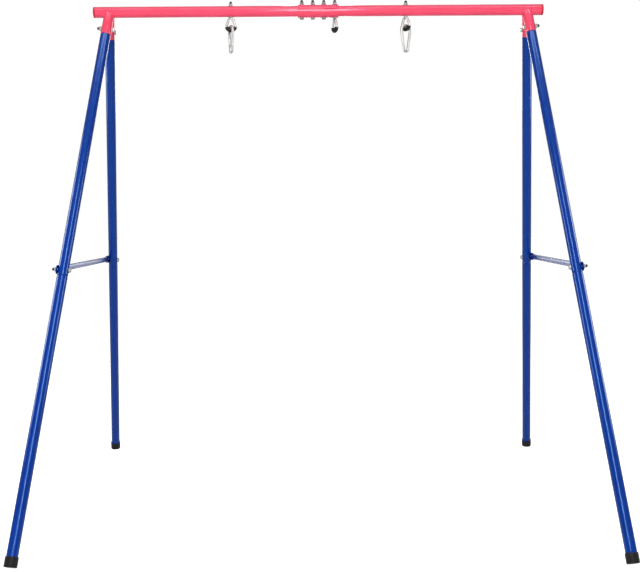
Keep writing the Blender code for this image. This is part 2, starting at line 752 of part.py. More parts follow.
def hook_route(lift):
    """The middle of the hook's wire, from its nose round both bows to the gate's shoulder."""
    centre = hook_centre(lift)
    top = (centre.x, centre.z)
    bottom = (centre.x, centre.z - HOOK_CENTRES)
    end_of_top = centre + HOOK_TOP_RADIUS * GATE_OUT
    nose = end_of_top + NOSE_LENGTH * GATE_DOWN
    shoulder = hook_pivot(lift) + SHOULDER * GATE_DOWN
    bows = circle_points(top, HOOK_TOP_RADIUS, -HOOK_LEAN, HALF_TURN + HOOK_LEAN, HOOK_TOP_STEPS)
    bows += circle_points(
        bottom, HOOK_BOTTOM_RADIUS, HALF_TURN + HOOK_LEAN, FULL_TURN - HOOK_LEAN, HOOK_BOTTOM_STEPS
    )
    return [nose, *in_xz(bows), shoulder]


def gate_matrix(lift):
    """The gate's frame in the hook's: its origin on the pivot, Z up along the gate."""
    return Matrix.Translation(hook_pivot(lift)) @ Matrix.Rotation(HOOK_LEAN, 4, "Y")


def tang_mesh():
    """The flat tongue of the hook's wire that the gate pivots on."""
    foot = -SHOULDER - TANG_ROOT
    outline = circle_points((0, 0), TANG_RADIUS, 0, HALF_TURN, TANG_STEPS)
    outline += [(-TANG_RADIUS, foot), (TANG_RADIUS, foot)]
    mesh = plate_mesh("tang", outline, TANG_THICKNESS)
    mesh.transform(Matrix.Rotation(QUARTER, 4, "X"))
    return mesh


def cross_rod_mesh(name, radius, half_length):
    """A rod along Y through the pivot."""
    mesh = rod_mesh(name, radius, -half_length, half_length, BOLT_SIDES)
    mesh.transform(Matrix.Rotation(QUARTER, 4, "X"))
    return mesh


def hook_mesh(lift):
    """The hook's wire with its tang, the pin hole and the slot in its nose."""
    wire = wire_mesh("hook_wire", hook_route(lift), HOOK_WIRE, 3)
    frame = gate_matrix(lift)
    tang = tang_mesh()
    tang.transform(frame)
    across = OVERREACH * HOOK_WIRE
    hole = cross_rod_mesh("pin_hole", clear_bore(PIN_RADIUS, BOLT_SIDES), across)
    hole.transform(frame)
    half_slot = TONGUE_THICKNESS / 2 + GAP
    slot_top = GATE_LENGTH + TONGUE_LENGTH + TONGUE_PLAY
    low = (-across, -half_slot, GATE_LENGTH)
    slot = box_mesh("nose_slot", low, (TONGUE_OUTER + GAP, half_slot, slot_top))
    slot.transform(frame)
    joined = combined_mesh("snap_hook", wire, "UNION", [tang])
    return combined_mesh("snap_hook", joined, "DIFFERENCE", [hole, slot])


def gate_mesh():
    """The gate: a bored rod with a fork at its pivot and a tongue at its tip."""
    body = rod_mesh("gate_body", GATE_RADIUS, -OVERREACH * GATE_END, GATE_LENGTH, GATE_SIDES)
    outline = circle_points((0, 0), GATE_END, -HALF_TURN, 0, FORK_STEPS)
    form_top = OVERREACH * GATE_LENGTH
    outline += [(GATE_END, form_top), (-GATE_END, form_top)]
    wide = OVERREACH * GATE_RADIUS
    form = plate_mesh("gate_form", outline, 2 * wide)
    form.transform(Matrix.Rotation(QUARTER, 4, "X"))
    half_tongue = TONGUE_THICKNESS / 2
    root = GATE_LENGTH - TONGUE_LENGTH / 2
    tip = GATE_LENGTH + TONGUE_LENGTH
    tongue = box_mesh("tongue", (-TONGUE_INNER, -half_tongue, root), (TONGUE_OUTER, half_tongue, tip))
    half_slot = TANG_THICKNESS / 2 + GAP
    slot = box_mesh("fork_slot", (-wide, -half_slot, -2 * wide), (wide, half_slot, SLOT_TOP))
    bore = rod_mesh("gate_bore", BORE_RADIUS, -2 * wide, BORE_DEPTH, GATE_SIDES)
    hole = cross_rod_mesh("gate_pin_hole", clear_bore(PIN_RADIUS, BOLT_SIDES), wide)
    rounded = combined_mesh("gate", body, "INTERSECT", [form])
    with_tongue = combined_mesh("gate", rounded, "UNION", [tongue])
    return combined_mesh("gate", with_tongue, "DIFFERENCE", [slot, bore, hole])


def pin_mesh():
    """The rivet that the gate pivots on, a head at each end, along Z."""
    seat = GATE_RADIUS + GAP
    top = seat + PIN_HEAD
    profile = [(0, top), (PIN_CROWN_RADIUS, top), (PIN_HEAD_RADIUS, seat + PIN_HEAD / 2)]
    profile += [(PIN_HEAD_RADIUS, seat), (PIN_RADIUS, seat)]
    mirrored = [(radius, -height) for radius, height in reversed(profile)]
    return turned_mesh("gate_pin", profile + mirrored, BOLT_SIDES)


def spring_mesh():
    """The coil between the plunger and the end of the gate's bore."""
    length = SPRING_END - SPRING_START - 2 * SPRING_WIRE
    route = []
    for index in range(SPRING_TURNS * SPRING_TURN_STEPS + 1):
        angle = FULL_TURN * index / SPRING_TURN_STEPS
        height = SPRING_START + SPRING_WIRE + length * index / (SPRING_TURNS * SPRING_TURN_STEPS)
        route.append(Vector((SPRING_RADIUS * math.cos(angle), SPRING_RADIUS * math.sin(angle), height)))
    gaps = [
        (route[first] - route[second]).length - 2 * SPRING_WIRE
        for first in range(len(route))
        for second in range(first + SPRING_TURN_STEPS // 2, len(route))
    ]
    print(f"gate spring: least gap between its turns {1000 * min(gaps):.2f} mm")
    return wire_mesh("gate_spring", route, SPRING_WIRE, 1)


HOOKS = (
    ("left", EYES[0], LEFT_HOOK_TURN, LEFT_HOOK_LIFT),
    ("right", EYES[2], RIGHT_HOOK_TURN, RIGHT_HOOK_LIFT),
)


def build_hooks():
    """The two snap hooks, each with its gate, pin, plunger and spring."""
    gate = gate_mesh()
    pin = pin_mesh()
    plunger_end = PLUNGER_START + PLUNGER_LENGTH
    plunger = rod_mesh("gate_plunger", BORE_RADIUS - GAP, PLUNGER_START, plunger_end, GATE_SIDES)
    spring = spring_mesh()
    for name, (_, x, _, seat), turn, lift in HOOKS:
        location = (x, 0, BEAM_HEIGHT - eye_depth(seat))
        hook = place(hook_mesh(lift), f"snap_hook_{name}", ZINC, None, location, (0, 0, turn))
        pivot = frame_empty(f"gate_axis_{name}", hook, hook_pivot(lift), (0, HOOK_LEAN, 0))
        place(gate, f"snap_gate_{name}", ZINC, pivot)
        place(pin, f"gate_pin_{name}", ZINC, pivot, (0, 0, 0), (QUARTER, 0, 0))
        place(plunger, f"gate_plunger_{name}", ZINC, pivot)
        place(spring, f"gate_spring_{name}", SPRING_STEEL, pivot)


build_beam()
build_plugs()
build_coupling()
build_legs()
build_braces()
build_bolts()
build_eyes()
build_hooks()
bpy.context.view_layer.update()
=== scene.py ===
"""Looks of the a-frame swing stand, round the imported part. Metres, in the part's own frame."""

import json
import math

import bmesh
import bpy
from mathutils import Matrix, Vector


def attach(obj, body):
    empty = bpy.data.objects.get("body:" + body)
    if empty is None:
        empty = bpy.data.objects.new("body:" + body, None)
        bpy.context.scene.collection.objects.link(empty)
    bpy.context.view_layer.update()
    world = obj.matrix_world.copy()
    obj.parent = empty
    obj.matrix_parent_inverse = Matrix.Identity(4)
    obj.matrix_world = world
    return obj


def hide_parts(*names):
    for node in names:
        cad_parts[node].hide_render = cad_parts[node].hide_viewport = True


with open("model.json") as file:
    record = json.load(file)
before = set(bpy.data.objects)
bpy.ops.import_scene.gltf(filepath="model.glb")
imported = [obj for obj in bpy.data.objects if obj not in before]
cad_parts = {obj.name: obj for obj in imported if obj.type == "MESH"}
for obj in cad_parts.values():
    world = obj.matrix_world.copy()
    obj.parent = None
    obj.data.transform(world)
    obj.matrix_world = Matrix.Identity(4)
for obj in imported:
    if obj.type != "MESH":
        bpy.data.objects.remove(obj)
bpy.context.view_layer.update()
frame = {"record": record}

QUARTER = math.pi / 2
HALF_TURN = math.pi
FULL_TURN = 2 * math.pi

# Sizes of the part's source
GAP = 0.0003
BEAM_HEIGHT = 1.745
BEAM_LENGTH = 1.592
APEX_INSET = 0.056
SPLAY = math.radians(5.5)
HALF_ANGLE = math.radians(23.6)
BEAM_RADIUS = 0.019
BEAM_WALL = 0.0015
LEG_RADIUS = 0.0175
LEG_WALL = 0.0012
BRACE_RADIUS = 0.010
BRACE_FLAT = 0.0032
BRACE_TIP = 0.020
BRACE_TAPER = 0.035
BRACE_MARGIN = 0.001
SOCKET_REACH = 0.094
SOCKET_BOLT = 0.070
JOINT_BOLT = 0.979
JOINT_LAP = 0.020
NECK_LENGTH = 0.052
NECK_CLEARANCE = 0.002
SWAGE_LENGTH = 0.003
CAP_WALL = 0.002
CAP_HEIGHT = 0.031
CAP_FLOOR = 0.005
CAP_FILLET = 0.0025
CAP_RIM = 0.0007
SOLE_DEPTH = 0.0025
PLUG_FLANGE = 0.007
PLUG_FILLET = 0.002
PLUG_SPIGOT = 0.020
COUPLING_LENGTH = 0.144
COUPLING_WALL = 0.0035
COUPLING_SEAM = 0.0066
COUPLING_MARGIN = 0.0135
SHELL_BORE = 0.01947
BOLT_RADIUS = 0.004
HEX_FLATS = 0.013
HEAD_HEIGHT = 0.0053
NUT_HEIGHT = 0.0065
WASHER_RADIUS = 0.0085
WASHER_THICKNESS = 0.0015
THREAD_END = 0.006
FUSED = 0.0003
NUT_CAP_WALL = 0.0008
EYE_WIRE = 0.0042
EYE_TOP_RADIUS = 0.0095
EYE_BOTTOM_RADIUS = 0.015
EYE_DROP = 0.041
EYE_SPACING = 0.310
LEFT_EYE_TURN = math.radians(0)
CENTRE_EYE_TURN = math.radians(-66)
RIGHT_EYE_TURN = math.radians(-40)
BUSH_WALL = 0.0025
HOOK_WIRE = 0.005
HOOK_TOP_RADIUS = 0.0185
HOOK_BOTTOM_RADIUS = 0.0085
HOOK_CENTRES = 0.063
NOSE_LENGTH = 0.006
PIVOT_DROP = 0.048
LEFT_HOOK_TURN = math.radians(115)
RIGHT_HOOK_TURN = math.radians(31)
LEFT_HOOK_LIFT = 0.0018
RIGHT_HOOK_LIFT = 0.0010
HOOK_BALANCE = 0.00069
GATE_RADIUS = 0.0048
GATE_END = 0.0050
SHOULDER_PLAY = 0.0004
TANG_RADIUS = 0.0043
TANG_THICKNESS = 0.0034
TANG_ROOT = 0.002
SLOT_DEPTH = 0.0025
TONGUE_LENGTH = 0.0036
TONGUE_THICKNESS = 0.0026
TONGUE_OUTER = 0.0012
TONGUE_INNER = 0.004
TONGUE_PLAY = 0.0008
PIN_RADIUS = 0.0015
PIN_HEAD_RADIUS = 0.0023
PIN_HEAD = 0.0008
BORE_RADIUS = 0.0026
BORE_DEPTH = 0.027
PLUNGER_LENGTH = 0.0074
SPRING_TURNS = 6
SPRING_WIRE = 0.00035
SPRING_RADIUS = 0.00185

# Steps round and along the shown shapes, and how they are finished
TUBE_SIDES = 72
SMALL_SIDES = 48
WIRE_SIDES = 36
FILLET_STEPS = 5
BEVEL_STEPS = 3
BEVEL_ROUND = 0.5
SMOOTH_ANGLE = math.radians(28)
TINY = 1e-7
DOWN = Vector((0, 0, -1))

SIDES = {-1: "left", 1: "right"}
ENDS = {-1: "front", 1: "back"}
BODY_OF = {node: body for body, nodes in frame["record"]["behaviour"]["bodies"].items() for node in nodes}


# Camera: the photograph's viewing angle
EYE_POINT = Vector((0, -3.64, 1.023))
PITCH = 0.070
ROLL = -0.0064
LENS = 56.8
SENSOR_WIDTH = 36

forward = Vector((0, math.cos(PITCH), -math.sin(PITCH)))
level = Vector((1, 0, 0))
upward = level.cross(forward)
right = math.cos(ROLL) * level + math.sin(ROLL) * upward
top = math.cos(ROLL) * upward - math.sin(ROLL) * level
camera_data = bpy.data.cameras.new("camera")
camera_data.lens = LENS
camera_data.sensor_width = SENSOR_WIDTH
camera = bpy.data.objects.new("camera", camera_data)
camera.matrix_world = Matrix.Translation(EYE_POINT) @ Matrix((right, top, -forward)).transposed().to_4x4()
bpy.context.scene.collection.objects.link(camera)
bpy.context.scene.camera = camera


# Materials: a pattern is the scale and the detail of its noise, relief is in metres, and a spread is
# how far the roughness falls and rises
NOISE_LOW = 0.3
NOISE_HIGH = 0.7
MIX_FIRST = 6
MIX_SECOND = 7
MIX_RESULT = 2
PAINT_CLOUD = (14, 4)
PAINT_GLOSS = (55, 3)
PAINT_SPREAD = (0.05, 0.06)
PAINT_PEEL = (380, 2)
PAINT_PEEL_RELIEF = 0.000007
PAINT_GRAIN = (2600, 1)
PAINT_GRAIN_RELIEF = 0.0000008
PAINT_COAT = 0.08
PAINT_COAT_ROUGHNESS = 0.08
PAINT_SPECULAR = 0.42
PLASTIC_CLOUD = (90, 4)
PLASTIC_GLOSS = (240, 2)
PLASTIC_SPREAD = (0.07, 0.07)
PLASTIC_GRAIN = (1900, 3)
PLASTIC_GRAIN_RELIEF = 0.00003
PLASTIC_SPECULAR = 0.2
METAL_TINT = (70, 5)
METAL_TINT_LOW = 0.35
METAL_TINT_HIGH = 0.65
METAL_GLOSS = (320, 4)
METAL_SPREAD = (0.07, 0.1)
METAL_GRAIN = (1500, 4)
METAL_GRAIN_RELIEF = 0.00002


def new_nodes(name):
    """A material, its nodes and its Principled shader."""
    material = bpy.data.materials.new(name)
    material.use_nodes = True
    tree = material.node_tree
    return material, tree, tree.nodes["Principled BSDF"]


def noise(tree, pattern):
    """Noise in the object's own space, as a factor."""
    scale, detail = pattern
    place = tree.nodes.new("ShaderNodeTexCoord")
    texture = tree.nodes.new("ShaderNodeTexNoise")
    texture.inputs["Scale"].default_value = scale
    texture.inputs["Detail"].default_value = detail
    tree.links.new(place.outputs["Object"], texture.inputs["Vector"])
    return texture.outputs["Fac"]


def ranged(tree, factor, low, high, start=NOISE_LOW, end=NOISE_HIGH):
    """A factor mapped to a range of values."""
    node = tree.nodes.new("ShaderNodeMapRange")
    node.inputs["From Min"].default_value = start
    node.inputs["From Max"].default_value = end
    node.inputs["To Min"].default_value = low
    node.inputs["To Max"].default_value = high
    tree.links.new(factor, node.inputs["Value"])
    return node.outputs["Result"]


def mixed(tree, factor, first, second):
    """A colour between two by a factor."""
    node = tree.nodes.new("ShaderNodeMix")
    node.data_type = "RGBA"
    tree.links.new(factor, node.inputs["Factor"])
    node.inputs[MIX_FIRST].default_value = (*first, 1)
    node.inputs[MIX_SECOND].default_value = (*second, 1)
    return node.outputs[MIX_RESULT]


def bumped(tree, pattern, relief, under=None):
    """A normal with fine relief."""
    node = tree.nodes.new("ShaderNodeBump")
    node.inputs["Strength"].default_value = 1
    node.inputs["Distance"].default_value = relief
    tree.links.new(noise(tree, pattern), node.inputs["Height"])
    if under is not None:
        tree.links.new(under, node.inputs["Normal"])
    return node.outputs["Normal"]


def uneven(tree, pattern, roughness, spread):
    """Roughness that varies round a value."""
    fall, rise = spread
    return ranged(tree, noise(tree, pattern), roughness - fall, roughness + rise)


def paint(name, colour, deep, shine, roughness):
    """Gloss powder coat: faint clouding, orange peel and a thin clear skin."""
    material, tree, shader = new_nodes(name)
    cloud = ranged(tree, noise(tree, PAINT_CLOUD), 0, 1)
    tree.links.new(mixed(tree, cloud, colour, deep), shader.inputs["Base Color"])
    tree.links.new(uneven(tree, PAINT_GLOSS, roughness, PAINT_SPREAD), shader.inputs["Roughness"])
    peel = bumped(tree, PAINT_PEEL, PAINT_PEEL_RELIEF)
    grain = bumped(tree, PAINT_GRAIN, PAINT_GRAIN_RELIEF, under=peel)
    tree.links.new(grain, shader.inputs["Normal"])
    shader.inputs["Coat Weight"].default_value = PAINT_COAT
    shader.inputs["Coat Roughness"].default_value = PAINT_COAT_ROUGHNESS
    shader.inputs["Specular IOR Level"].default_value = PAINT_SPECULAR
    shader.inputs["Specular Tint"].default_value = (*shine, 1)
    return material


def plastic(name, colour, pale, roughness):
    """Moulded plastic: fine spark-eroded grain and slightly uneven gloss."""
    material, tree, shader = new_nodes(name)
    cloud = ranged(tree, noise(tree, PLASTIC_CLOUD), 0, 1)
    tree.links.new(mixed(tree, cloud, colour, pale), shader.inputs["Base Color"])
    tree.links.new(uneven(tree, PLASTIC_GLOSS, roughness, PLASTIC_SPREAD), shader.inputs["Roughness"])
    tree.links.new(bumped(tree, PLASTIC_GRAIN, PLASTIC_GRAIN_RELIEF), shader.inputs["Normal"])
    shader.inputs["Specular IOR Level"].default_value = PLASTIC_SPECULAR
    return material


def metal(name, bright, warm, roughness):
    """Plated steel: faint cloudy tint, uneven gloss and a fine matte grain."""
    material, tree, shader = new_nodes(name)
    tint = ranged(tree, noise(tree, METAL_TINT), 0, 1, METAL_TINT_LOW, METAL_TINT_HIGH)
    tree.links.new(mixed(tree, tint, bright, warm), shader.inputs["Base Color"])
    tree.links.new(uneven(tree, METAL_GLOSS, roughness, METAL_SPREAD), shader.inputs["Roughness"])
    tree.links.new(bumped(tree, METAL_GRAIN, METAL_GRAIN_RELIEF), shader.inputs["Normal"])
    shader.inputs["Metallic"].default_value = 1
    return material


PINK = paint("pink_gloss_paint", (0.98, 0.08, 0.16), (0.93, 0.066, 0.14), (1.0, 0.7, 0.8), 0.18)
BLUE = paint("blue_gloss_paint", (0.0005, 0.036, 0.30), (0.0004, 0.031, 0.26), (0.3, 0.55, 1.0), 0.18)
BLACK = plastic("black_moulded_plastic", (0.006, 0.0055, 0.006), (0.012, 0.011, 0.012), 0.5)
RED = plastic("red_moulded_plastic", (0.66, 0.02, 0.035), (0.60, 0.016, 0.03), 0.38)
ZINC = metal("zinc_plate", (0.45, 0.46, 0.48), (0.44, 0.425, 0.39), 0.36)
STEEL = metal("spring_wire_steel", (0.55, 0.55, 0.56), (0.46, 0.46, 0.48), 0.32)


# Meshes
def smoothed(mesh):
    """The mesh, smooth but for its edges."""
    mesh.shade_smooth()
    mesh.set_sharp_from_angle(angle=SMOOTH_ANGLE)
    return mesh


def finished(name, shape):
    """The mesh of an edited shape."""
    mesh = bpy.data.meshes.new(name)
    shape.to_mesh(mesh)
    shape.free()
    return smoothed(mesh)


def skin(name, rings, closed=False):
    """A closed mesh through rings of points. A ring of one point is a pole."""
    shape = bmesh.new()
    rows = [[shape.verts.new(point) for point in ring] for ring in rings]
    pairs = list(zip(rows, rows[1:]))
    if closed:
        pairs.append((rows[-1], rows[0]))
    for first, second in pairs:
        count = max(len(first), len(second))
        for index in range(count):
            after = (index + 1) % count
            corners = [first[index], first[after]] if len(first) > 1 else [first[0]]
            corners += [second[after], second[index]] if len(second) > 1 else [second[0]]
            shape.faces.new(corners)
    if not closed:
        for row in (rows[0], rows[-1]):
            if len(row) > 1:
                shape.faces.new(row)
    bmesh.ops.recalc_face_normals(shape, faces=shape.faces)
    return finished(name, shape)


def arc(centre, radius, start, end, steps):
    """Points of an arc in the plane."""
    x, y = centre
    angles = [start + (end - start) * step / steps for step in range(steps + 1)]
    return [(x + radius * math.cos(angle), y + radius * math.sin(angle)) for angle in angles]


def rectangle(left, right, low, high):
    """The corners of a rectangle."""
    return [(left, low), (right, low), (right, high), (left, high)]


def circle(radius, sides):
    """Points of a circle round the origin."""
    return arc((0, 0), radius, 0, FULL_TURN, sides)[:-1]


def filleted(corners, closed=False):
    """A line of (x, z, radius) corners as points, each corner rounded by its radius."""
    points = []
    last = len(corners) - 1
    for index, (x, z, radius) in enumerate(corners):
        if not radius or (not closed and index in (0, last)):
            points.append((x, z))
            continue
        here = Vector((x, z))
        before = (Vector(corners[index - 1][:2]) - here).normalized()
        after = (Vector(corners[(index + 1) % len(corners)][:2]) - here).normalized()
        half = before.angle(after) / 2
        centre = here + (before + after).normalized() * radius / math.sin(half)
        start = here + before * radius / math.tan(half) - centre
        end = here + after * radius / math.tan(half) - centre
        first = math.atan2(start.y, start.x)
        turn = math.atan2(end.y, end.x) - first
        turn -= FULL_TURN * round(turn / FULL_TURN)
        points += arc(centre, radius, first, first + turn, FILLET_STEPS)
    return points


def turned_rings(corners, sides=TUBE_SIDES, ring=False):
    """The rings of a profile of (radius, height, fillet) turned about Z."""
    rings = []
    for radius, height in filleted(corners, ring):
        if radius < TINY:
            rings.append([Vector((0, 0, height))])
        else:
            rings.append([Vector((x, y, height)) for x, y in circle(radius, sides)])
    return rings


def turned(name, corners, sides=TUBE_SIDES, ring=False):
    """A profile turned about Z. A ring's profile is closed by itself."""
    return skin(name, turned_rings(corners, sides, ring), ring)


def swept(name, route, radii, sides=WIRE_SIDES, closed=False, outward=None):
    """A round wire along a route, with a radius at each of its points."""
    rings = []
    count = len(route)
    normal = None
    for index, point in enumerate(route):
        before = route[index - 1] if closed or index else point
        after = route[(index + 1) % count] if closed or index < count - 1 else point
        along = (after - before).normalized()
        if outward is not None:
            normal = outward[index]
        elif normal is None:
            normal = along.orthogonal()
        normal = (normal - along * normal.dot(along)).normalized()
        side = along.cross(normal)
        rings.append([point + normal * x + side * y for x, y in circle(radii[index], sides)])
    return skin(name, rings, closed)


def rounded_tip(inner, tip, radius, fillet):
    """Points and radii that round a wire's end at its tip."""
    along = (tip - inner).normalized()
    angles = [QUARTER * step / FILLET_STEPS for step in range(FILLET_STEPS + 1)]
    points = [tip - along * fillet * (1 - math.sin(angle)) for angle in angles]
    radii = [radius - fillet * (1 - math.cos(angle)) for angle in angles]
    return points, radii


def round_ended(route, radius, fillet):
    """An open route and its radii, with both ends rounded."""
    start, start_radii = rounded_tip(route[1], route[0], radius, fillet)
    end, end_radii = rounded_tip(route[-2], route[-1], radius, fillet)
    inner = route[1:-1]
    return start[::-1] + inner + end, start_radii[::-1] + [radius] * len(inner) + end_radii


def extruded(name, outline, thickness, bevel=0):
    """A flat outline in XY with its thickness along Z and its edges rounded by the bevel."""
    shape = bmesh.new()
    low = [shape.verts.new((x, y, -thickness / 2)) for x, y in outline]
    high = [shape.verts.new((x, y, thickness / 2)) for x, y in outline]
    shape.faces.new(low[::-1])
    shape.faces.new(high)
    for index in range(len(outline)):
        after = (index + 1) % len(outline)
        shape.faces.new((low[index], low[after], high[after], high[index]))
    bmesh.ops.recalc_face_normals(shape, faces=shape.faces)
    if bevel:
        edges = [edge for edge in shape.edges if edge.calc_face_angle(0) > SMOOTH_ANGLE]
        bmesh.ops.bevel(
            shape,
            geom=edges,
            offset=bevel,
            segments=BEVEL_STEPS,
            profile=BEVEL_ROUND,
            affect="EDGES",
            clamp_overlap=True,
        )
        bmesh.ops.recalc_face_normals(shape, faces=shape.faces)
    return finished(name, shape)


def combined(name, mesh, operation, tools):
    """The mesh with others joined to it, cut from it or kept as its bounds."""
    target = bpy.data.objects.new(name, mesh)
    bpy.context.scene.collection.objects.link(target)
    helpers = []
    for tool in tools:
        helper = bpy.data.objects.new(name + "_tool", tool)
        bpy.context.scene.collection.objects.link(helper)
        modifier = target.modifiers.new("cut", "BOOLEAN")
        modifier.operation = operation
        modifier.object = helper
        modifier.solver = "EXACT"
        helpers.append(helper)
    bpy.context.view_layer.update()
    graph = bpy.context.evaluated_depsgraph_get()
    result = bpy.data.meshes.new_from_object(target.evaluated_get(graph))
    result.name = name
    for obj in [target, *helpers]:
        bpy.data.objects.remove(obj, do_unlink=True)
    return smoothed(result)


def joined(name, meshes):
    """Several meshes as one."""
    shape = bmesh.new()
    for mesh in meshes:
        shape.from_mesh(mesh)
    return finished(name, shape)


def piece(name, mesh, material, matrix, body, *nodes):
    """One shown piece: it rides on a body and stands for CAD nodes."""
    mesh = mesh.copy()
    mesh.transform(matrix)
    mesh.materials.clear()
    mesh.materials.append(material)
    obj = bpy.data.objects.new(name, mesh)
    bpy.context.scene.collection.objects.link(obj)
    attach(obj, body)
    if nodes:
        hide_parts(*nodes)


# Places
def frame_matrix(side):
    """An A-frame's own plane: its origin on the beam's axis, and X points outward."""
    turn = Matrix.Rotation(HALF_TURN if side < 0 else 0, 4, "Z")
    return Matrix.Translation((side * APEX_X, 0, BEAM_HEIGHT)) @ turn @ Matrix.Rotation(-SPLAY, 4, "Y")


def leg_matrix(side, end):
    """A leg's frame: its origin on the beam's axis, and the leg runs down -Z."""
    return frame_matrix(side) @ Matrix.Rotation(end * side * HALF_ANGLE, 4, "X")


def bolt_matrix(side, end, reach):
    """A bolt through a leg, its Z outward."""
    return leg_matrix(side, end) @ Matrix.Translation((0, 0, -reach)) @ Matrix.Rotation(QUARTER, 4, "Y")


def beam_point(x):
    """A place on the beam's axis."""
    return Matrix.Translation((x, 0, BEAM_HEIGHT))


APEX_X = BEAM_LENGTH / 2 - APEX_INSET
BEAM_BORE = BEAM_RADIUS - BEAM_WALL
LEG_BORE = LEG_RADIUS - LEG_WALL
NECK_RADIUS = LEG_BORE - GAP
LEGS = [(side, end) for side in SIDES for end in ENDS]
LEAN = math.acos(math.cos(HALF_ANGLE) * math.cos(SPLAY))
CAP_RADIUS = LEG_RADIUS + GAP + CAP_WALL
CAP_RISE = (CAP_RADIUS - CAP_FILLET) * math.sin(LEAN) + CAP_FILLET * (1 - math.cos(LEAN)) - SOLE_DEPTH
CAP_PLACE = (BEAM_HEIGHT - CAP_RISE) / math.cos(LEAN)
SHELL_RADIUS = SHELL_BORE + COUPLING_WALL
CENTRE_EYE_X = COUPLING_LENGTH / 2 - COUPLING_MARGIN
COUPLING_XS = [CENTRE_EYE_X * share for share in (-1, -1 / 3, 1 / 3)]
BUSH_RADIUS = EYE_WIRE + GAP + BUSH_WALL


# Beam: a tube half with its welded pair of leg sockets. A rim is how far a cut end is rounded
SOCKET_STEPS = 144
BEAM_RIM = BEAM_WALL * 0.35
LEG_RIM = LEG_WALL * 0.4
RIM_MIDDLE = LEG_RIM * 0.3
WELD_RADIUS = 0.0021
WELD_RIPPLE = 0.0026
WELD_DIP = 0.14
WELD_SIDES = 12
PLUG_DISH = 0.0006
PLUG_DISH_RADIUS = BEAM_RADIUS * 0.62
PLUG_DISH_RIM = BEAM_RADIUS * 0.66
PLUG_EDGE = 0.0004
PLUG_LEAD = 0.0006
SHELL_STEPS = 48
SHELL_BEVEL = 0.0009


def socket_edge(side, leg):
    """A socket's welded edge, where it runs down into the beam's tube or into the other socket."""
    on_beam = Matrix.Translation((0, 0, -BEAM_HEIGHT)) @ leg
    on_frame = frame_matrix(side).inverted() @ leg
    down_beam = on_beam.to_3x3() @ DOWN
    down_frame = on_frame.to_3x3() @ DOWN
    edge = []
    for x, y in circle(LEG_RADIUS, SOCKET_STEPS):
        start = on_beam @ Vector((x, y, 0))
        a = down_beam.y**2 + down_beam.z**2
        b = start.y * down_beam.y + start.z * down_beam.z
        c = start.y**2 + start.z**2 - BEAM_RADIUS**2
        to_tube = (-b + math.sqrt(b * b - a * c)) / a
        to_other = -(on_frame @ Vector((x, y, 0))).y / down_frame.y
        edge.append(Vector((x, y, -max(to_tube, to_other))))
    return edge


def socket_mesh(leg, edge):
    """A socket with a rounded mouth, from its welded edge down."""
    rows = [edge]
    for radius, height in (
        (LEG_RADIUS, -SOCKET_REACH + LEG_RIM),
        (LEG_RADIUS - RIM_MIDDLE, -SOCKET_REACH + RIM_MIDDLE),
        (LEG_RADIUS - LEG_RIM, -SOCKET_REACH),
        (LEG_BORE + LEG_RIM, -SOCKET_REACH),
        (LEG_BORE, -SOCKET_REACH + LEG_RIM),
    ):
        rows.append([Vector((p.x, p.y, 0)) * radius / LEG_RADIUS + Vector((0, 0, height)) for p in edge])
    rows.append([Vector((p.x * LEG_BORE / LEG_RADIUS, p.y * LEG_BORE / LEG_RADIUS, p.z)) for p in edge])
    mesh = skin("socket", rows, closed=True)
    mesh.transform(leg)
    return mesh


def weld_mesh(leg, edge):
    """The rippled weld bead along a socket's edge."""
    length = sum((edge[index] - edge[index - 1]).length for index in range(len(edge)))
    waves = round(length / WELD_RIPPLE)
    points = []
    for index in range(len(edge)):
        for share in (0, 0.5):
            points.append(edge[index].lerp(edge[(index + 1) % len(edge)], share))
    radii = []
    for index in range(len(points)):
        wave = (index * waves / len(points)) % 1
        radii.append(WELD_RADIUS * (1 - WELD_DIP + WELD_DIP * math.sqrt(wave)))
    outward = [Vector((p.x, p.y, 0)).normalized() for p in points]
    mesh = swept("weld", points, radii, WELD_SIDES, closed=True, outward=outward)
    mesh.transform(leg)
    return mesh


def dress_beam():
    """The two beam halves."""
    outer_end = BEAM_LENGTH / 2 - PLUG_FLANGE - GAP
    corners = [
        (BEAM_RADIUS, outer_end, BEAM_RIM),
        (BEAM_RADIUS, GAP / 2, 0),
        (BEAM_BORE, GAP / 2, 0),
        (BEAM_BORE, outer_end, BEAM_RIM),
    ]
    for side, name in SIDES.items():
        tube = turned("beam_tube", corners, ring=True)
        tube.transform(beam_point(0) @ Matrix.Rotation(side * QUARTER, 4, "Y"))
        parts = [tube]
        for end in ENDS:
            leg = leg_matrix(side, end)
            edge = socket_edge(side, leg)
            parts.append(socket_mesh(leg, edge))
            parts.append(weld_mesh(leg, edge))
        piece(f"beam_half_{name}", joined("beam_half", parts), PINK, Matrix(), "stand", f"beam_{name}")


def dress_plugs():
    """The red end plugs, each with a shallow dish in its face."""
    spigot = BEAM_BORE - GAP
    corners = [
        (0, PLUG_FLANGE - PLUG_DISH, 0),
        (PLUG_DISH_RADIUS, PLUG_FLANGE - PLUG_DISH, PLUG_EDGE),
        (PLUG_DISH_RIM, PLUG_FLANGE, PLUG_EDGE),
        (BEAM_RADIUS, PLUG_FLANGE, PLUG_FILLET),
        (BEAM_RADIUS, 0, PLUG_EDGE),
        (spigot, 0, 0),
        (spigot, -PLUG_SPIGOT, PLUG_LEAD),
        (0, -PLUG_SPIGOT, 0),
    ]
    mesh = turned("plug", corners)
    for side, name in SIDES.items():
        place = beam_point(side * (BEAM_LENGTH / 2 - PLUG_FLANGE)) @ Matrix.Rotation(side * QUARTER, 4, "Y")
        piece(f"end_plug_{name}", mesh, RED, place, "stand", f"beam_plug_{name}")


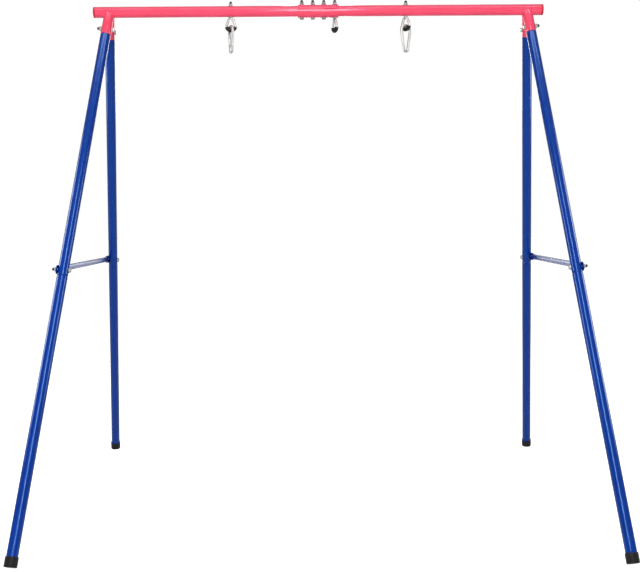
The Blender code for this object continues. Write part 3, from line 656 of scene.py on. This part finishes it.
def dress_coupling():
    """The two half-round shells of the coupling."""
    outer_start = math.asin(COUPLING_SEAM / 2 / SHELL_RADIUS)
    inner_start = math.asin(COUPLING_SEAM / 2 / SHELL_BORE)
    outline = arc((0, 0), SHELL_RADIUS, outer_start, HALF_TURN - outer_start, SHELL_STEPS)
    outline += arc((0, 0), SHELL_BORE, HALF_TURN - inner_start, inner_start, SHELL_STEPS)
    mesh = extruded("shell", outline, COUPLING_LENGTH, SHELL_BEVEL)
    for name, turn in (("upper", QUARTER), ("lower", -QUARTER)):
        place = beam_point(0) @ Matrix.Rotation(QUARTER, 4, "Z") @ Matrix.Rotation(turn, 4, "X")
        piece(f"coupling_shell_{name}", mesh, PINK, place, "stand", f"coupling_{name}")


# Legs. The face and the edge of a tube's end are shares of its wall
NECK_EDGE = 0.0004
SHOULDER_FILLET = 0.0016
END_REACH = 0.0045
END_FILLET = 0.004
END_FACE = 0.6
END_EDGE = 0.2
CAP_MOUTH_FILLET = 0.0003
CAP_RIM_DRAFT = 0.2
CAP_RIM_HEIGHT = 0.003
CAP_RIM_FILLET = 0.0006
CAP_BOTTOM_RINGS = 8


def leg_tube(name, neck, length):
    """A leg piece along Z, its shoulder at 0, its neck above and its lower end rolled in."""
    corners = [
        (NECK_RADIUS, neck, LEG_RIM),
        (NECK_RADIUS, 0, NECK_EDGE),
        (LEG_RADIUS, -SWAGE_LENGTH, SHOULDER_FILLET),
        (LEG_RADIUS, -length + END_REACH, END_FILLET),
        (LEG_RADIUS - LEG_WALL * END_FACE, -length, LEG_WALL * END_EDGE),
        (LEG_BORE, -length, 0),
        (LEG_BORE, -SWAGE_LENGTH, 0),
        (NECK_RADIUS - LEG_WALL, 0, 0),
        (NECK_RADIUS - LEG_WALL, neck, LEG_RIM),
    ]
    return turned(name, corners, ring=True)


def cap_rings():
    """A foot cap's rings, with more of them across its bottom, where the floor cuts it."""
    bore = LEG_RADIUS + GAP
    corners = [
        (0, CAP_FLOOR, 0),
        (bore, CAP_FLOOR, 0),
        (bore, CAP_HEIGHT, CAP_MOUTH_FILLET),
        (CAP_RADIUS - CAP_RIM * CAP_RIM_DRAFT, CAP_HEIGHT, CAP_RIM),
        (CAP_RADIUS, CAP_HEIGHT - CAP_RIM_HEIGHT, CAP_RIM_FILLET),
        (CAP_RADIUS, 0, CAP_FILLET),
        (0, 0, 0),
    ]
    *rings, edge, middle = turned_rings(corners)
    shares = [step / CAP_BOTTOM_RINGS for step in range(CAP_BOTTOM_RINGS)]
    bottom = [[point.lerp(middle[0], share) for point in edge] for share in shares]
    return [*rings, *bottom, middle]


def dress_legs():
    """Leg pieces and foot caps. A cap is cut flat where it meets the floor."""
    upper_start = SOCKET_REACH + GAP
    upper_end = JOINT_BOLT + JOINT_LAP
    lower_start = upper_end + GAP
    neck_top = (NECK_RADIUS * math.cos(HALF_ANGLE) + NECK_CLEARANCE) / math.sin(HALF_ANGLE)
    upper = leg_tube("upper", upper_start - neck_top, upper_end - upper_start)
    lower = leg_tube("lower", NECK_LENGTH, CAP_PLACE - CAP_FLOOR - GAP - lower_start)
    rings = cap_rings()
    for side, end in LEGS:
        name = f"{SIDES[side]}_{ENDS[end]}"
        leg = leg_matrix(side, end)
        place = leg @ Matrix.Translation((0, 0, -upper_start))
        piece(f"leg_tube_upper_{name}", upper, BLUE, place, "stand", f"upper_leg_{name}")
        place = leg @ Matrix.Translation((0, 0, -lower_start))
        piece(f"leg_tube_lower_{name}", lower, BLUE, place, "stand", f"lower_leg_{name}")
        place = leg @ Matrix.Translation((0, 0, -CAP_PLACE))
        placed = [[place @ point for point in ring] for ring in rings]
        flat = [[Vector((p.x, p.y, max(p.z, 0))) for p in ring] for ring in placed]
        piece(f"foot_{name}", skin("foot", flat), BLACK, Matrix(), "stand", f"foot_cap_{name}")


# Braces
BRACE_STEPS = 14
TAPER_STEPS = 12
TIP_STEPS = 14
TIP_TURN = QUARTER * 0.93


def brace_ring(across, half_thickness, half_height):
    """One section of the flattened tube."""
    shift = max(half_height - half_thickness, 0)
    ring = arc((0, shift), half_thickness, 0, HALF_TURN, BRACE_STEPS)
    ring += arc((0, -shift), half_thickness, HALF_TURN, FULL_TURN, BRACE_STEPS)
    return [Vector((thick, across, high)) for thick, high in ring]


def dress_braces():
    """The brace of each A-frame: a tube with flattened, rounded ends."""
    drop = JOINT_BOLT * math.cos(HALF_ANGLE)
    bolt_y = JOINT_BOLT * math.sin(HALF_ANGLE)
    passing = LEG_RADIUS / math.cos(HALF_ANGLE) + BRACE_RADIUS * math.tan(HALF_ANGLE)
    half_flat = bolt_y - passing - BRACE_MARGIN
    flat = BRACE_FLAT / 2
    tip = flat + QUARTER * (BRACE_RADIUS - flat)
    tip_centre = bolt_y + BRACE_TIP - tip
    stations = []
    for step in range(TIP_STEPS + 1):
        angle = TIP_TURN * (1 - step / TIP_STEPS)
        stations.append((tip_centre + tip * math.sin(angle), flat, tip * math.cos(angle)))
    for step in range(TAPER_STEPS + 1):
        share = step / TAPER_STEPS
        eased = share * share * (3 - 2 * share)
        half_thickness = flat + (BRACE_RADIUS - flat) * eased
        half_height = half_thickness + QUARTER * (BRACE_RADIUS - half_thickness)
        stations.append((half_flat - BRACE_TAPER * share, half_thickness, half_height))
    rows = [brace_ring(-across, thick, high) for across, thick, high in stations]
    rows += [brace_ring(across, thick, high) for across, thick, high in stations[::-1]]
    mesh = skin("brace", rows)
    for side, name in SIDES.items():
        place = frame_matrix(side) @ Matrix.Translation((LEG_RADIUS + GAP + flat, 0, -drop))
        piece(f"brace_tube_{name}", mesh, BLUE, place, "stand", f"brace_{name}")


# Fasteners
HEX_STEPS = 72
HEX_SIDE = math.radians(60)
HEX_SLOPE = math.tan(math.radians(30))
HEX_DISC = HEX_FLATS / 2 * 0.94
WASHER_EDGE = 0.0002
WASHER_FILLET = 0.0005
THREAD_CHAMFER = 0.0006
NUT_CAP_COLLAR = 0.0012
NUT_CAP_STEP = 0.0002
NUT_CAP_EDGE = 0.0003
NUT_CAP_NECK = 0.95
NUT_CAP_DOME = 0.6


def hexagon(name, low, high, chamfered_top):
    """A hexagon with a turned chamfer below and, on a nut, above."""
    flat = HEX_FLATS / 2
    rings = [[], [], [], []]
    for step in range(HEX_STEPS):
        angle = FULL_TURN * step / HEX_STEPS
        radius = flat / math.cos((angle + HEX_SIDE / 2) % HEX_SIDE - HEX_SIDE / 2)
        fall = (radius - HEX_DISC) * HEX_SLOPE
        across = Vector((math.cos(angle), math.sin(angle), 0))
        top_edge = high - fall if chamfered_top else high
        reaches = (HEX_DISC, radius, radius, HEX_DISC)
        heights = (low, low + fall, top_edge, high)
        for ring, reach, height in zip(rings, reaches, heights):
            ring.append(across * reach + Vector((0, 0, height)))
    if not chamfered_top:
        rings.pop()
    return skin(name, rings)


def washer(low):
    """A pressed washer, its upper edge rounded."""
    corners = [
        (BOLT_RADIUS, low, 0),
        (WASHER_RADIUS, low, WASHER_EDGE),
        (WASHER_RADIUS, low + WASHER_THICKNESS, WASHER_FILLET),
        (BOLT_RADIUS, low + WASHER_THICKNESS, 0),
    ]
    return turned("washer", corners, SMALL_SIDES, ring=True)


def head_meshes(low_seat, end):
    """A bolt with its head, and its washer, under a seat."""
    under_head = -low_seat - GAP - WASHER_THICKNESS
    head = hexagon("head", under_head - HEAD_HEIGHT, under_head, chamfered_top=False)
    corners = [
        (0, under_head, 0),
        (BOLT_RADIUS, under_head, 0),
        (BOLT_RADIUS, end, THREAD_CHAMFER),
        (0, end, 0),
    ]
    shank = turned("shank", corners, SMALL_SIDES)
    return joined("bolt", [head, shank]), washer(under_head)


def nut_meshes(high_seat):
    """A nut, its washer and the black cap over the thread's end."""
    foot = high_seat + GAP
    nut_foot = foot + WASHER_THICKNESS
    nut_top = nut_foot + NUT_HEIGHT
    top = nut_top + THREAD_END + GAP + NUT_CAP_WALL
    radius = BOLT_RADIUS + GAP + NUT_CAP_WALL
    nut = hexagon("nut", nut_foot, nut_top, chamfered_top=True)
    corners = [
        (0, nut_top, 0),
        (radius, nut_top, NUT_CAP_EDGE),
        (radius, nut_top + NUT_CAP_COLLAR, NUT_CAP_STEP),
        (radius * NUT_CAP_NECK, nut_top + NUT_CAP_COLLAR + NUT_CAP_STEP, NUT_CAP_STEP),
        (radius * NUT_CAP_NECK, top, radius * NUT_CAP_DOME),
        (0, top, 0),
    ]
    return nut, washer(foot), turned("cap", corners, SMALL_SIDES)


def thread_end(high_seat):
    """How far a bolt reaches past the tube's axis."""
    return high_seat + GAP + WASHER_THICKNESS + NUT_HEIGHT + THREAD_END


def place_bolt(group, name, place, parts):
    """One bolt and its washer."""
    bolt, head_washer = parts
    piece(f"{group}_hex_bolt_{name}", bolt, ZINC, place, "stand", f"{group}_bolt_{name}")
    piece(f"{group}_head_washer_{name}", head_washer, ZINC, place, "stand")


def place_nut(group, name, place, parts, *nodes):
    """One nut with its washer and cap. A nut that is fused to its bolt has no node of its own."""
    nut, nut_washer, cap = parts
    piece(f"{group}_hex_nut_{name}", nut, ZINC, place, "stand", *nodes)
    piece(f"{group}_nut_washer_{name}", nut_washer, ZINC, place, "stand")
    piece(f"{group}_bolt_cap_{name}", cap, BLACK, place, "stand")


def dress_bolts():
    """All bolts and nuts but those of the eyebolts."""
    brace_seat = LEG_RADIUS + GAP + BRACE_FLAT
    for group, reach, high_seat in (("socket", SOCKET_BOLT, LEG_RADIUS), ("joint", JOINT_BOLT, brace_seat)):
        bolt_parts = head_meshes(LEG_RADIUS, thread_end(high_seat))
        nut_parts = nut_meshes(high_seat)
        for side, end in LEGS:
            name = f"{SIDES[side]}_{ENDS[end]}"
            place = bolt_matrix(side, end, reach)
            place_bolt(group, name, place, bolt_parts)
            place_nut(group, name, place, nut_parts, f"{group}_nut_{name}")
    bolt_parts = head_meshes(SHELL_RADIUS, thread_end(SHELL_RADIUS))
    nut_parts = nut_meshes(SHELL_RADIUS)
    for name, x in zip(("left_outer", "left_inner", "right_inner"), COUPLING_XS):
        place_bolt("coupling", name, beam_point(x), bolt_parts)
        place_nut("coupling", name, beam_point(x), nut_parts)


# Eyebolts: where each is along the beam, how it is turned, and the radius that it is seated on
EYES = (
    ("left", -EYE_SPACING, LEFT_EYE_TURN, BEAM_RADIUS),
    ("centre", CENTRE_EYE_X, CENTRE_EYE_TURN, SHELL_RADIUS),
    ("right", EYE_SPACING, RIGHT_EYE_TURN, BEAM_RADIUS),
)
EYE_LOWER_STEPS = 56
EYE_UPPER_STEPS = 28
BUSH_SHARE = 5 / 14
BUSH_EDGE = 0.0008
COLLAR_FOOT = EYE_DROP - 0.003
COLLAR_TOP = EYE_DROP + EYE_WIRE * 0.55
COLLAR_LOW_RADIUS = BOLT_RADIUS * 1.25
COLLAR_HIGH_RADIUS = BOLT_RADIUS * 1.2
COLLAR_SLOPE = 0.0012
COLLAR_FILLET = 0.001
SHANK_FILLET = 0.0006


def eye_depth(seat):
    """How far the eye's origin lies under the beam's axis."""
    return seat + GAP + WASHER_THICKNESS - FUSED + EYE_WIRE + EYE_DROP


def eye_place(x, seat, turn):
    """The frame of what hangs from an eye's origin."""
    return Matrix.Translation((x, 0, BEAM_HEIGHT - eye_depth(seat))) @ Matrix.Rotation(turn, 4, "Z")


def in_xz(points):
    """Points of the plane as places in XZ."""
    return [Vector((across, 0, up)) for across, up in points]


def dress_eyes():
    """The three eyebolts with their bushes, washers, nuts and caps."""
    centres = EYE_DROP - EYE_TOP_RADIUS - EYE_BOTTOM_RADIUS
    lean = math.asin((EYE_BOTTOM_RADIUS - EYE_TOP_RADIUS) / centres)
    lower = arc((0, EYE_BOTTOM_RADIUS), EYE_BOTTOM_RADIUS, -HALF_TURN - lean, lean, EYE_LOWER_STEPS)
    upper = arc((0, EYE_DROP - EYE_TOP_RADIUS), EYE_TOP_RADIUS, lean, HALF_TURN - lean, EYE_UPPER_STEPS)
    route = in_xz(lower + upper)
    ring = swept("eye", route, [EYE_WIRE] * len(route), closed=True)
    middle = EYE_LOWER_STEPS // 2
    half = round(EYE_LOWER_STEPS * BUSH_SHARE)
    bend, radii = round_ended(in_xz(lower[middle - half : middle + half + 1]), BUSH_RADIUS, BUSH_EDGE)
    bush = swept("bush", bend, radii)
    for name, x, turn, seat in EYES:
        place = eye_place(x, seat, turn)
        end = eye_depth(seat) + thread_end(seat)
        corners = [
            (0, COLLAR_FOOT, 0),
            (COLLAR_LOW_RADIUS, COLLAR_FOOT, 0),
            (COLLAR_HIGH_RADIUS, COLLAR_TOP, COLLAR_FILLET),
            (BOLT_RADIUS, COLLAR_TOP + COLLAR_SLOPE, SHANK_FILLET),
            (BOLT_RADIUS, end, THREAD_CHAMFER),
            (0, end, 0),
        ]
        shank = turned("eye_shank", corners, SMALL_SIDES)
        washer_top = eye_depth(seat) - seat - GAP
        piece(f"eye_ring_{name}", joined("eye", [ring, shank]), ZINC, place, "stand", f"eyebolt_{name}")
        piece(f"eye_lower_washer_{name}", washer(washer_top - WASHER_THICKNESS), ZINC, place, "stand")
        piece(f"eye_sleeve_{name}", bush, BLACK, place, "stand", f"eye_bush_{name}")
        place_nut("eye", name, beam_point(x), nut_meshes(seat), f"eye_nut_{name}")


# Snap hooks: the eye that each hangs from, how it is turned, and how far it is lifted off the bush
HOOKS = (
    ("left", EYES[0], LEFT_HOOK_TURN, LEFT_HOOK_LIFT),
    ("right", EYES[2], RIGHT_HOOK_TURN, RIGHT_HOOK_LIFT),
)
HOOK_TOP_STEPS = 64
HOOK_BOTTOM_STEPS = 36
HOOK_EDGE = 0.0005
TANG_STEPS = 32
NOSE_SLOT_START = 0.002
FORK_STEPS = 40
GATE_EDGE = 0.0007
TONGUE_BEVEL = 0.0004
PIN_DOME = PIN_HEAD * 0.7
PLUNGER_NOSE = 0.0004
PLUNGER_EDGE = 0.0003
SPRING_STEPS = 24
SPRING_SIDES = 10

# How many times its own size a cutter reaches past what it cuts
OVERREACH = 4

HOOK_LEAN = math.asin((HOOK_TOP_RADIUS - HOOK_BOTTOM_RADIUS) / HOOK_CENTRES)
GATE_DOWN = Vector((-math.sin(HOOK_LEAN), 0, -math.cos(HOOK_LEAN)))
GATE_OUT = Vector((math.cos(HOOK_LEAN), 0, -math.sin(HOOK_LEAN)))
NOSE_PLACE = PIVOT_DROP - NOSE_LENGTH
GATE_LENGTH = math.sqrt((NOSE_PLACE - GAP) ** 2 - GATE_RADIUS**2)
SHOULDER = GATE_END + SHOULDER_PLAY
PLUNGER_START = TANG_RADIUS + GAP
SPRING_START = PLUNGER_START + PLUNGER_LENGTH + GAP
SPRING_END = BORE_DEPTH - GAP
ON_Y = Matrix.Rotation(QUARTER, 4, "X")


def hook_centre(lift):
    """The middle of the hook's top bow."""
    return Vector((HOOK_BALANCE, 0, BUSH_RADIUS + HOOK_WIRE + GAP + lift - HOOK_TOP_RADIUS))


def hook_mesh(lift, gate_frame):
    """The hook's wire with its tang and the slot in its nose."""
    centre = hook_centre(lift)
    low_centre = (centre.x, centre.z - HOOK_CENTRES)
    back = HALF_TURN + HOOK_LEAN
    nose = centre + HOOK_TOP_RADIUS * GATE_OUT + NOSE_LENGTH * GATE_DOWN
    shoulder = centre + HOOK_TOP_RADIUS * GATE_OUT + (PIVOT_DROP + SHOULDER) * GATE_DOWN
    bows = arc((centre.x, centre.z), HOOK_TOP_RADIUS, -HOOK_LEAN, back, HOOK_TOP_STEPS)
    bows += arc(low_centre, HOOK_BOTTOM_RADIUS, back, FULL_TURN - HOOK_LEAN, HOOK_BOTTOM_STEPS)
    route, radii = round_ended([nose, *in_xz(bows), shoulder], HOOK_WIRE, HOOK_EDGE)
    wire = swept("hook_wire", route, radii)
    foot = -SHOULDER - TANG_ROOT
    outline = arc((0, 0), TANG_RADIUS, 0, HALF_TURN, TANG_STEPS)
    outline += [(-TANG_RADIUS, foot), (TANG_RADIUS, foot)]
    tang = extruded("tang", outline, TANG_THICKNESS)
    tang.transform(gate_frame @ ON_Y)
    slot_start = GATE_LENGTH - NOSE_SLOT_START
    slot_end = GATE_LENGTH + TONGUE_LENGTH + TONGUE_PLAY
    outline = rectangle(-OVERREACH * HOOK_WIRE, TONGUE_OUTER + GAP, slot_start, slot_end)
    slot = extruded("slot", outline, TONGUE_THICKNESS + 2 * GAP)
    slot.transform(gate_frame @ ON_Y)
    with_tang = combined("hook", wire, "UNION", [tang])
    return combined("hook", with_tang, "DIFFERENCE", [slot])


def gate_mesh():
    """The gate: a bored rod with a fork at its pivot and a tongue at its tip."""
    start = -2 * GATE_END
    far = OVERREACH * GATE_RADIUS
    corners = [
        (0, start, 0),
        (GATE_RADIUS, start, 0),
        (GATE_RADIUS, GATE_LENGTH, GATE_EDGE),
        (0, GATE_LENGTH, 0),
    ]
    body = turned("gate_body", corners, SMALL_SIDES)
    outline = arc((0, 0), GATE_END, -HALF_TURN, 0, FORK_STEPS)
    outline += [(GATE_END, 2 * GATE_LENGTH), (-GATE_END, 2 * GATE_LENGTH)]
    form = extruded("gate_form", outline, far)
    tip = GATE_LENGTH + TONGUE_LENGTH
    root = GATE_LENGTH - TONGUE_LENGTH / 2
    outline = rectangle(-TONGUE_INNER, TONGUE_OUTER, root, tip)
    tongue = extruded("tongue", outline, TONGUE_THICKNESS, TONGUE_BEVEL)
    outline = rectangle(-far / 2, far / 2, -far, TANG_RADIUS + SLOT_DEPTH)
    slot = extruded("fork_slot", outline, TANG_THICKNESS + 2 * GAP)
    for mesh in (form, tongue, slot):
        mesh.transform(ON_Y)
    corners = [(0, -far, 0), (BORE_RADIUS, -far, 0), (BORE_RADIUS, BORE_DEPTH, 0), (0, BORE_DEPTH, 0)]
    bore = turned("bore", corners, WIRE_SIDES)
    rounded = combined("gate", body, "INTERSECT", [form])
    with_tongue = combined("gate", rounded, "UNION", [tongue])
    return combined("gate", with_tongue, "DIFFERENCE", [slot, bore])


def pin_mesh():
    """The gate's rivet with its two domed heads."""
    seat = GATE_RADIUS + GAP
    crown = seat + PIN_HEAD
    half = [
        (0, crown, 0),
        (PIN_HEAD_RADIUS, crown, PIN_DOME),
        (PIN_HEAD_RADIUS, seat, 0),
        (PIN_RADIUS, seat, 0),
    ]
    other = [(radius, -height, fillet) for radius, height, fillet in reversed(half)]
    mesh = turned("pin", half + other, WIRE_SIDES)
    mesh.transform(ON_Y)
    return mesh


def spring_mesh():
    """The coil that presses the plunger on the tang."""
    count = SPRING_TURNS * SPRING_STEPS
    length = SPRING_END - SPRING_START - 2 * SPRING_WIRE
    route = []
    for index in range(count + 1):
        angle = FULL_TURN * index / SPRING_STEPS
        height = SPRING_START + SPRING_WIRE + length * index / count
        route.append(Vector((SPRING_RADIUS * math.cos(angle), SPRING_RADIUS * math.sin(angle), height)))
    return swept("spring", route, [SPRING_WIRE] * len(route), SPRING_SIDES)


def plunger_mesh():
    """The plunger between the spring and the tang."""
    end = PLUNGER_START + PLUNGER_LENGTH
    radius = BORE_RADIUS - GAP
    corners = [
        (0, PLUNGER_START, 0),
        (radius, PLUNGER_START, PLUNGER_NOSE),
        (radius, end, PLUNGER_EDGE),
        (0, end, 0),
    ]
    return turned("plunger", corners, WIRE_SIDES)


def dress_hooks():
    """The two snap hooks with their gates, pins, plungers and springs."""
    gate = gate_mesh()
    pin = pin_mesh()
    spring = spring_mesh()
    plunger = plunger_mesh()
    for name, (_, x, _, seat), turn, lift in HOOKS:
        place = eye_place(x, seat, turn)
        pivot = hook_centre(lift) + HOOK_TOP_RADIUS * GATE_OUT + PIVOT_DROP * GATE_DOWN
        gate_frame = Matrix.Translation(pivot) @ Matrix.Rotation(HOOK_LEAN, 4, "Y")
        hook = hook_mesh(lift, gate_frame)
        piece(f"hook_wire_{name}", hook, ZINC, place, BODY_OF[f"snap_hook_{name}"], f"snap_hook_{name}")
        for kind, mesh, material, node in (
            ("gate", gate, ZINC, "snap_gate"),
            ("gate_rivet", pin, ZINC, "gate_pin"),
            ("plunger", plunger, ZINC, "gate_plunger"),
            ("coil", spring, STEEL, "gate_spring"),
        ):
            node_name = f"{node}_{name}"
            piece(f"hook_{kind}_{name}", mesh, material, place @ gate_frame, BODY_OF[node_name], node_name)


dress_beam()
dress_plugs()
dress_coupling()
dress_legs()
dress_braces()
dress_bolts()
dress_eyes()
dress_hooks()


# Studio: powers in watts, and how bright the backdrop is in light, to the camera and in what shines
WORLD_LIGHT = 0.25
HORIZON_SHINE = 0.3
SKY_START = 0.5
SKY_END = 0.95
FLOOR_SIZE = 40
FLOOR_DROP = 0.0004
FLOOR_COLOUR = (0.75, 0.75, 0.75, 1)
FLOOR_ROUGHNESS = 0.9
FLOOR_GLOW = 0.9
FLOOR_SHINE = 0.4
WHITE = (1, 1, 1, 1)

# Each lamp's name, place, target, size and power, and whether it is seen in gloss alone
LAMPS = (
    ("key", (-1.6, -4.4, 2.6), (0, 0, 0.9), (2.6, 2.0), 135, False),
    ("fill", (2.2, -4.2, 1.9), (0, 0, 0.9), (2.4, 2.4), 65, False),
    ("rear", (0.4, 4.4, 2.6), (0, 0, 0.9), (3.0, 2.0), 90, False),
    ("strip_front", (0, -2.9, 2.3), (0, 0, 0.8), (0.6, 2.4), 80, True),
    ("bar_front", (0, -1.3, 3.9), (0, 0, 1.7), (4.0, 0.3), 45, True),
    ("strip_rear", (0, 2.9, 2.6), (0, 0, 1.1), (0.5, 2.2), 28, True),
    ("panel_back", (0, 4.2, 1.5), (0, 0, 1.0), (2.4, 1.6), 15, True),
    ("panel_left", (-3.3, 0.1, 1.7), (0, 0, 1.2), (1.2, 1.7), 58, True),
    ("panel_right", (3.3, 0.1, 1.7), (0, 0, 1.2), (1.2, 1.7), 58, True),
)


def largest(tree, first, second):
    """The larger of two values."""
    node = tree.nodes.new("ShaderNodeMath")
    node.operation = "MAXIMUM"
    tree.links.new(first, node.inputs[0])
    tree.links.new(second, node.inputs[1])
    return node.outputs[0]


def either(tree, factor, first, second):
    """The first shader where the factor is 0, and the second where it is 1."""
    node = tree.nodes.new("ShaderNodeMixShader")
    tree.links.new(factor, node.inputs[0])
    tree.links.new(first.outputs[0], node.inputs[1])
    tree.links.new(second.outputs[0], node.inputs[2])
    return node


def ray_kinds(tree):
    """Factors for the rays that see straight and for those of gloss."""
    path = tree.nodes.new("ShaderNodeLightPath")
    straight = largest(tree, path.outputs["Is Camera Ray"], path.outputs["Is Transmission Ray"])
    return straight, path.outputs["Is Glossy Ray"]


def make_floor():
    """A plain floor that is white to the camera and dimmer in what shines."""
    shape = bmesh.new()
    bmesh.ops.create_grid(shape, x_segments=1, y_segments=1, size=FLOOR_SIZE)
    mesh = bpy.data.meshes.new("floor")
    shape.to_mesh(mesh)
    shape.free()
    floor = bpy.data.objects.new("floor", mesh)
    floor.location.z = -FLOOR_DROP
    material, tree, shader = new_nodes("studio_floor")
    shader.inputs["Base Color"].default_value = FLOOR_COLOUR
    shader.inputs["Roughness"].default_value = FLOOR_ROUGHNESS
    shader.inputs["Specular IOR Level"].default_value = 0
    straight, glossy = ray_kinds(tree)
    seen = ranged(tree, straight, 0, FLOOR_GLOW, 0, 1)
    shine = ranged(tree, glossy, 0, FLOOR_SHINE, 0, 1)
    shader.inputs["Emission Color"].default_value = WHITE
    tree.links.new(largest(tree, seen, shine), shader.inputs["Emission Strength"])
    mesh.materials.append(material)
    bpy.context.scene.collection.objects.link(floor)


def make_world():
    """White where it is seen, a soft even light, and a darker horizon in what shines."""
    world = bpy.data.worlds.new("studio")
    world.use_nodes = True
    tree = world.node_tree
    tree.nodes.clear()
    output = tree.nodes.new("ShaderNodeOutputWorld")
    backgrounds = []
    for strength in (WORLD_LIGHT, 1, 1):
        background = tree.nodes.new("ShaderNodeBackground")
        background.inputs["Color"].default_value = WHITE
        background.inputs["Strength"].default_value = strength
        backgrounds.append(background)
    light, shine, seen = backgrounds
    place = tree.nodes.new("ShaderNodeTexCoord")
    parts = tree.nodes.new("ShaderNodeSeparateXYZ")
    tree.links.new(place.outputs["Generated"], parts.inputs[0])
    sky = ranged(tree, parts.outputs["Z"], HORIZON_SHINE, 1, SKY_START, SKY_END)
    tree.links.new(sky, shine.inputs["Strength"])
    straight, glossy = ray_kinds(tree)
    with_shine = either(tree, glossy, light, shine)
    tree.links.new(either(tree, straight, with_shine, seen).outputs[0], output.inputs["Surface"])
    bpy.context.scene.world = world


def area_light(name, place, target, size, power, shines):
    """A soft lamp aimed at a point. One that shines lights gloss alone, and the others all but gloss."""
    data = bpy.data.lights.new(name, "AREA")
    data.shape = "RECTANGLE"
    data.size = size[0]
    data.size_y = size[1]
    data.energy = power
    lamp = bpy.data.objects.new(name, data)
    lamp.location = place
    lamp.rotation_euler = (Vector(target) - Vector(place)).to_track_quat("-Z", "Y").to_euler()
    lamp.visible_camera = False
    lamp.visible_glossy = shines
    lamp.visible_diffuse = not shines
    bpy.context.scene.collection.objects.link(lamp)


make_floor()
make_world()
for lamp_values in LAMPS:
    area_light(*lamp_values)
bpy.context.scene.view_settings.view_transform = "Standard"
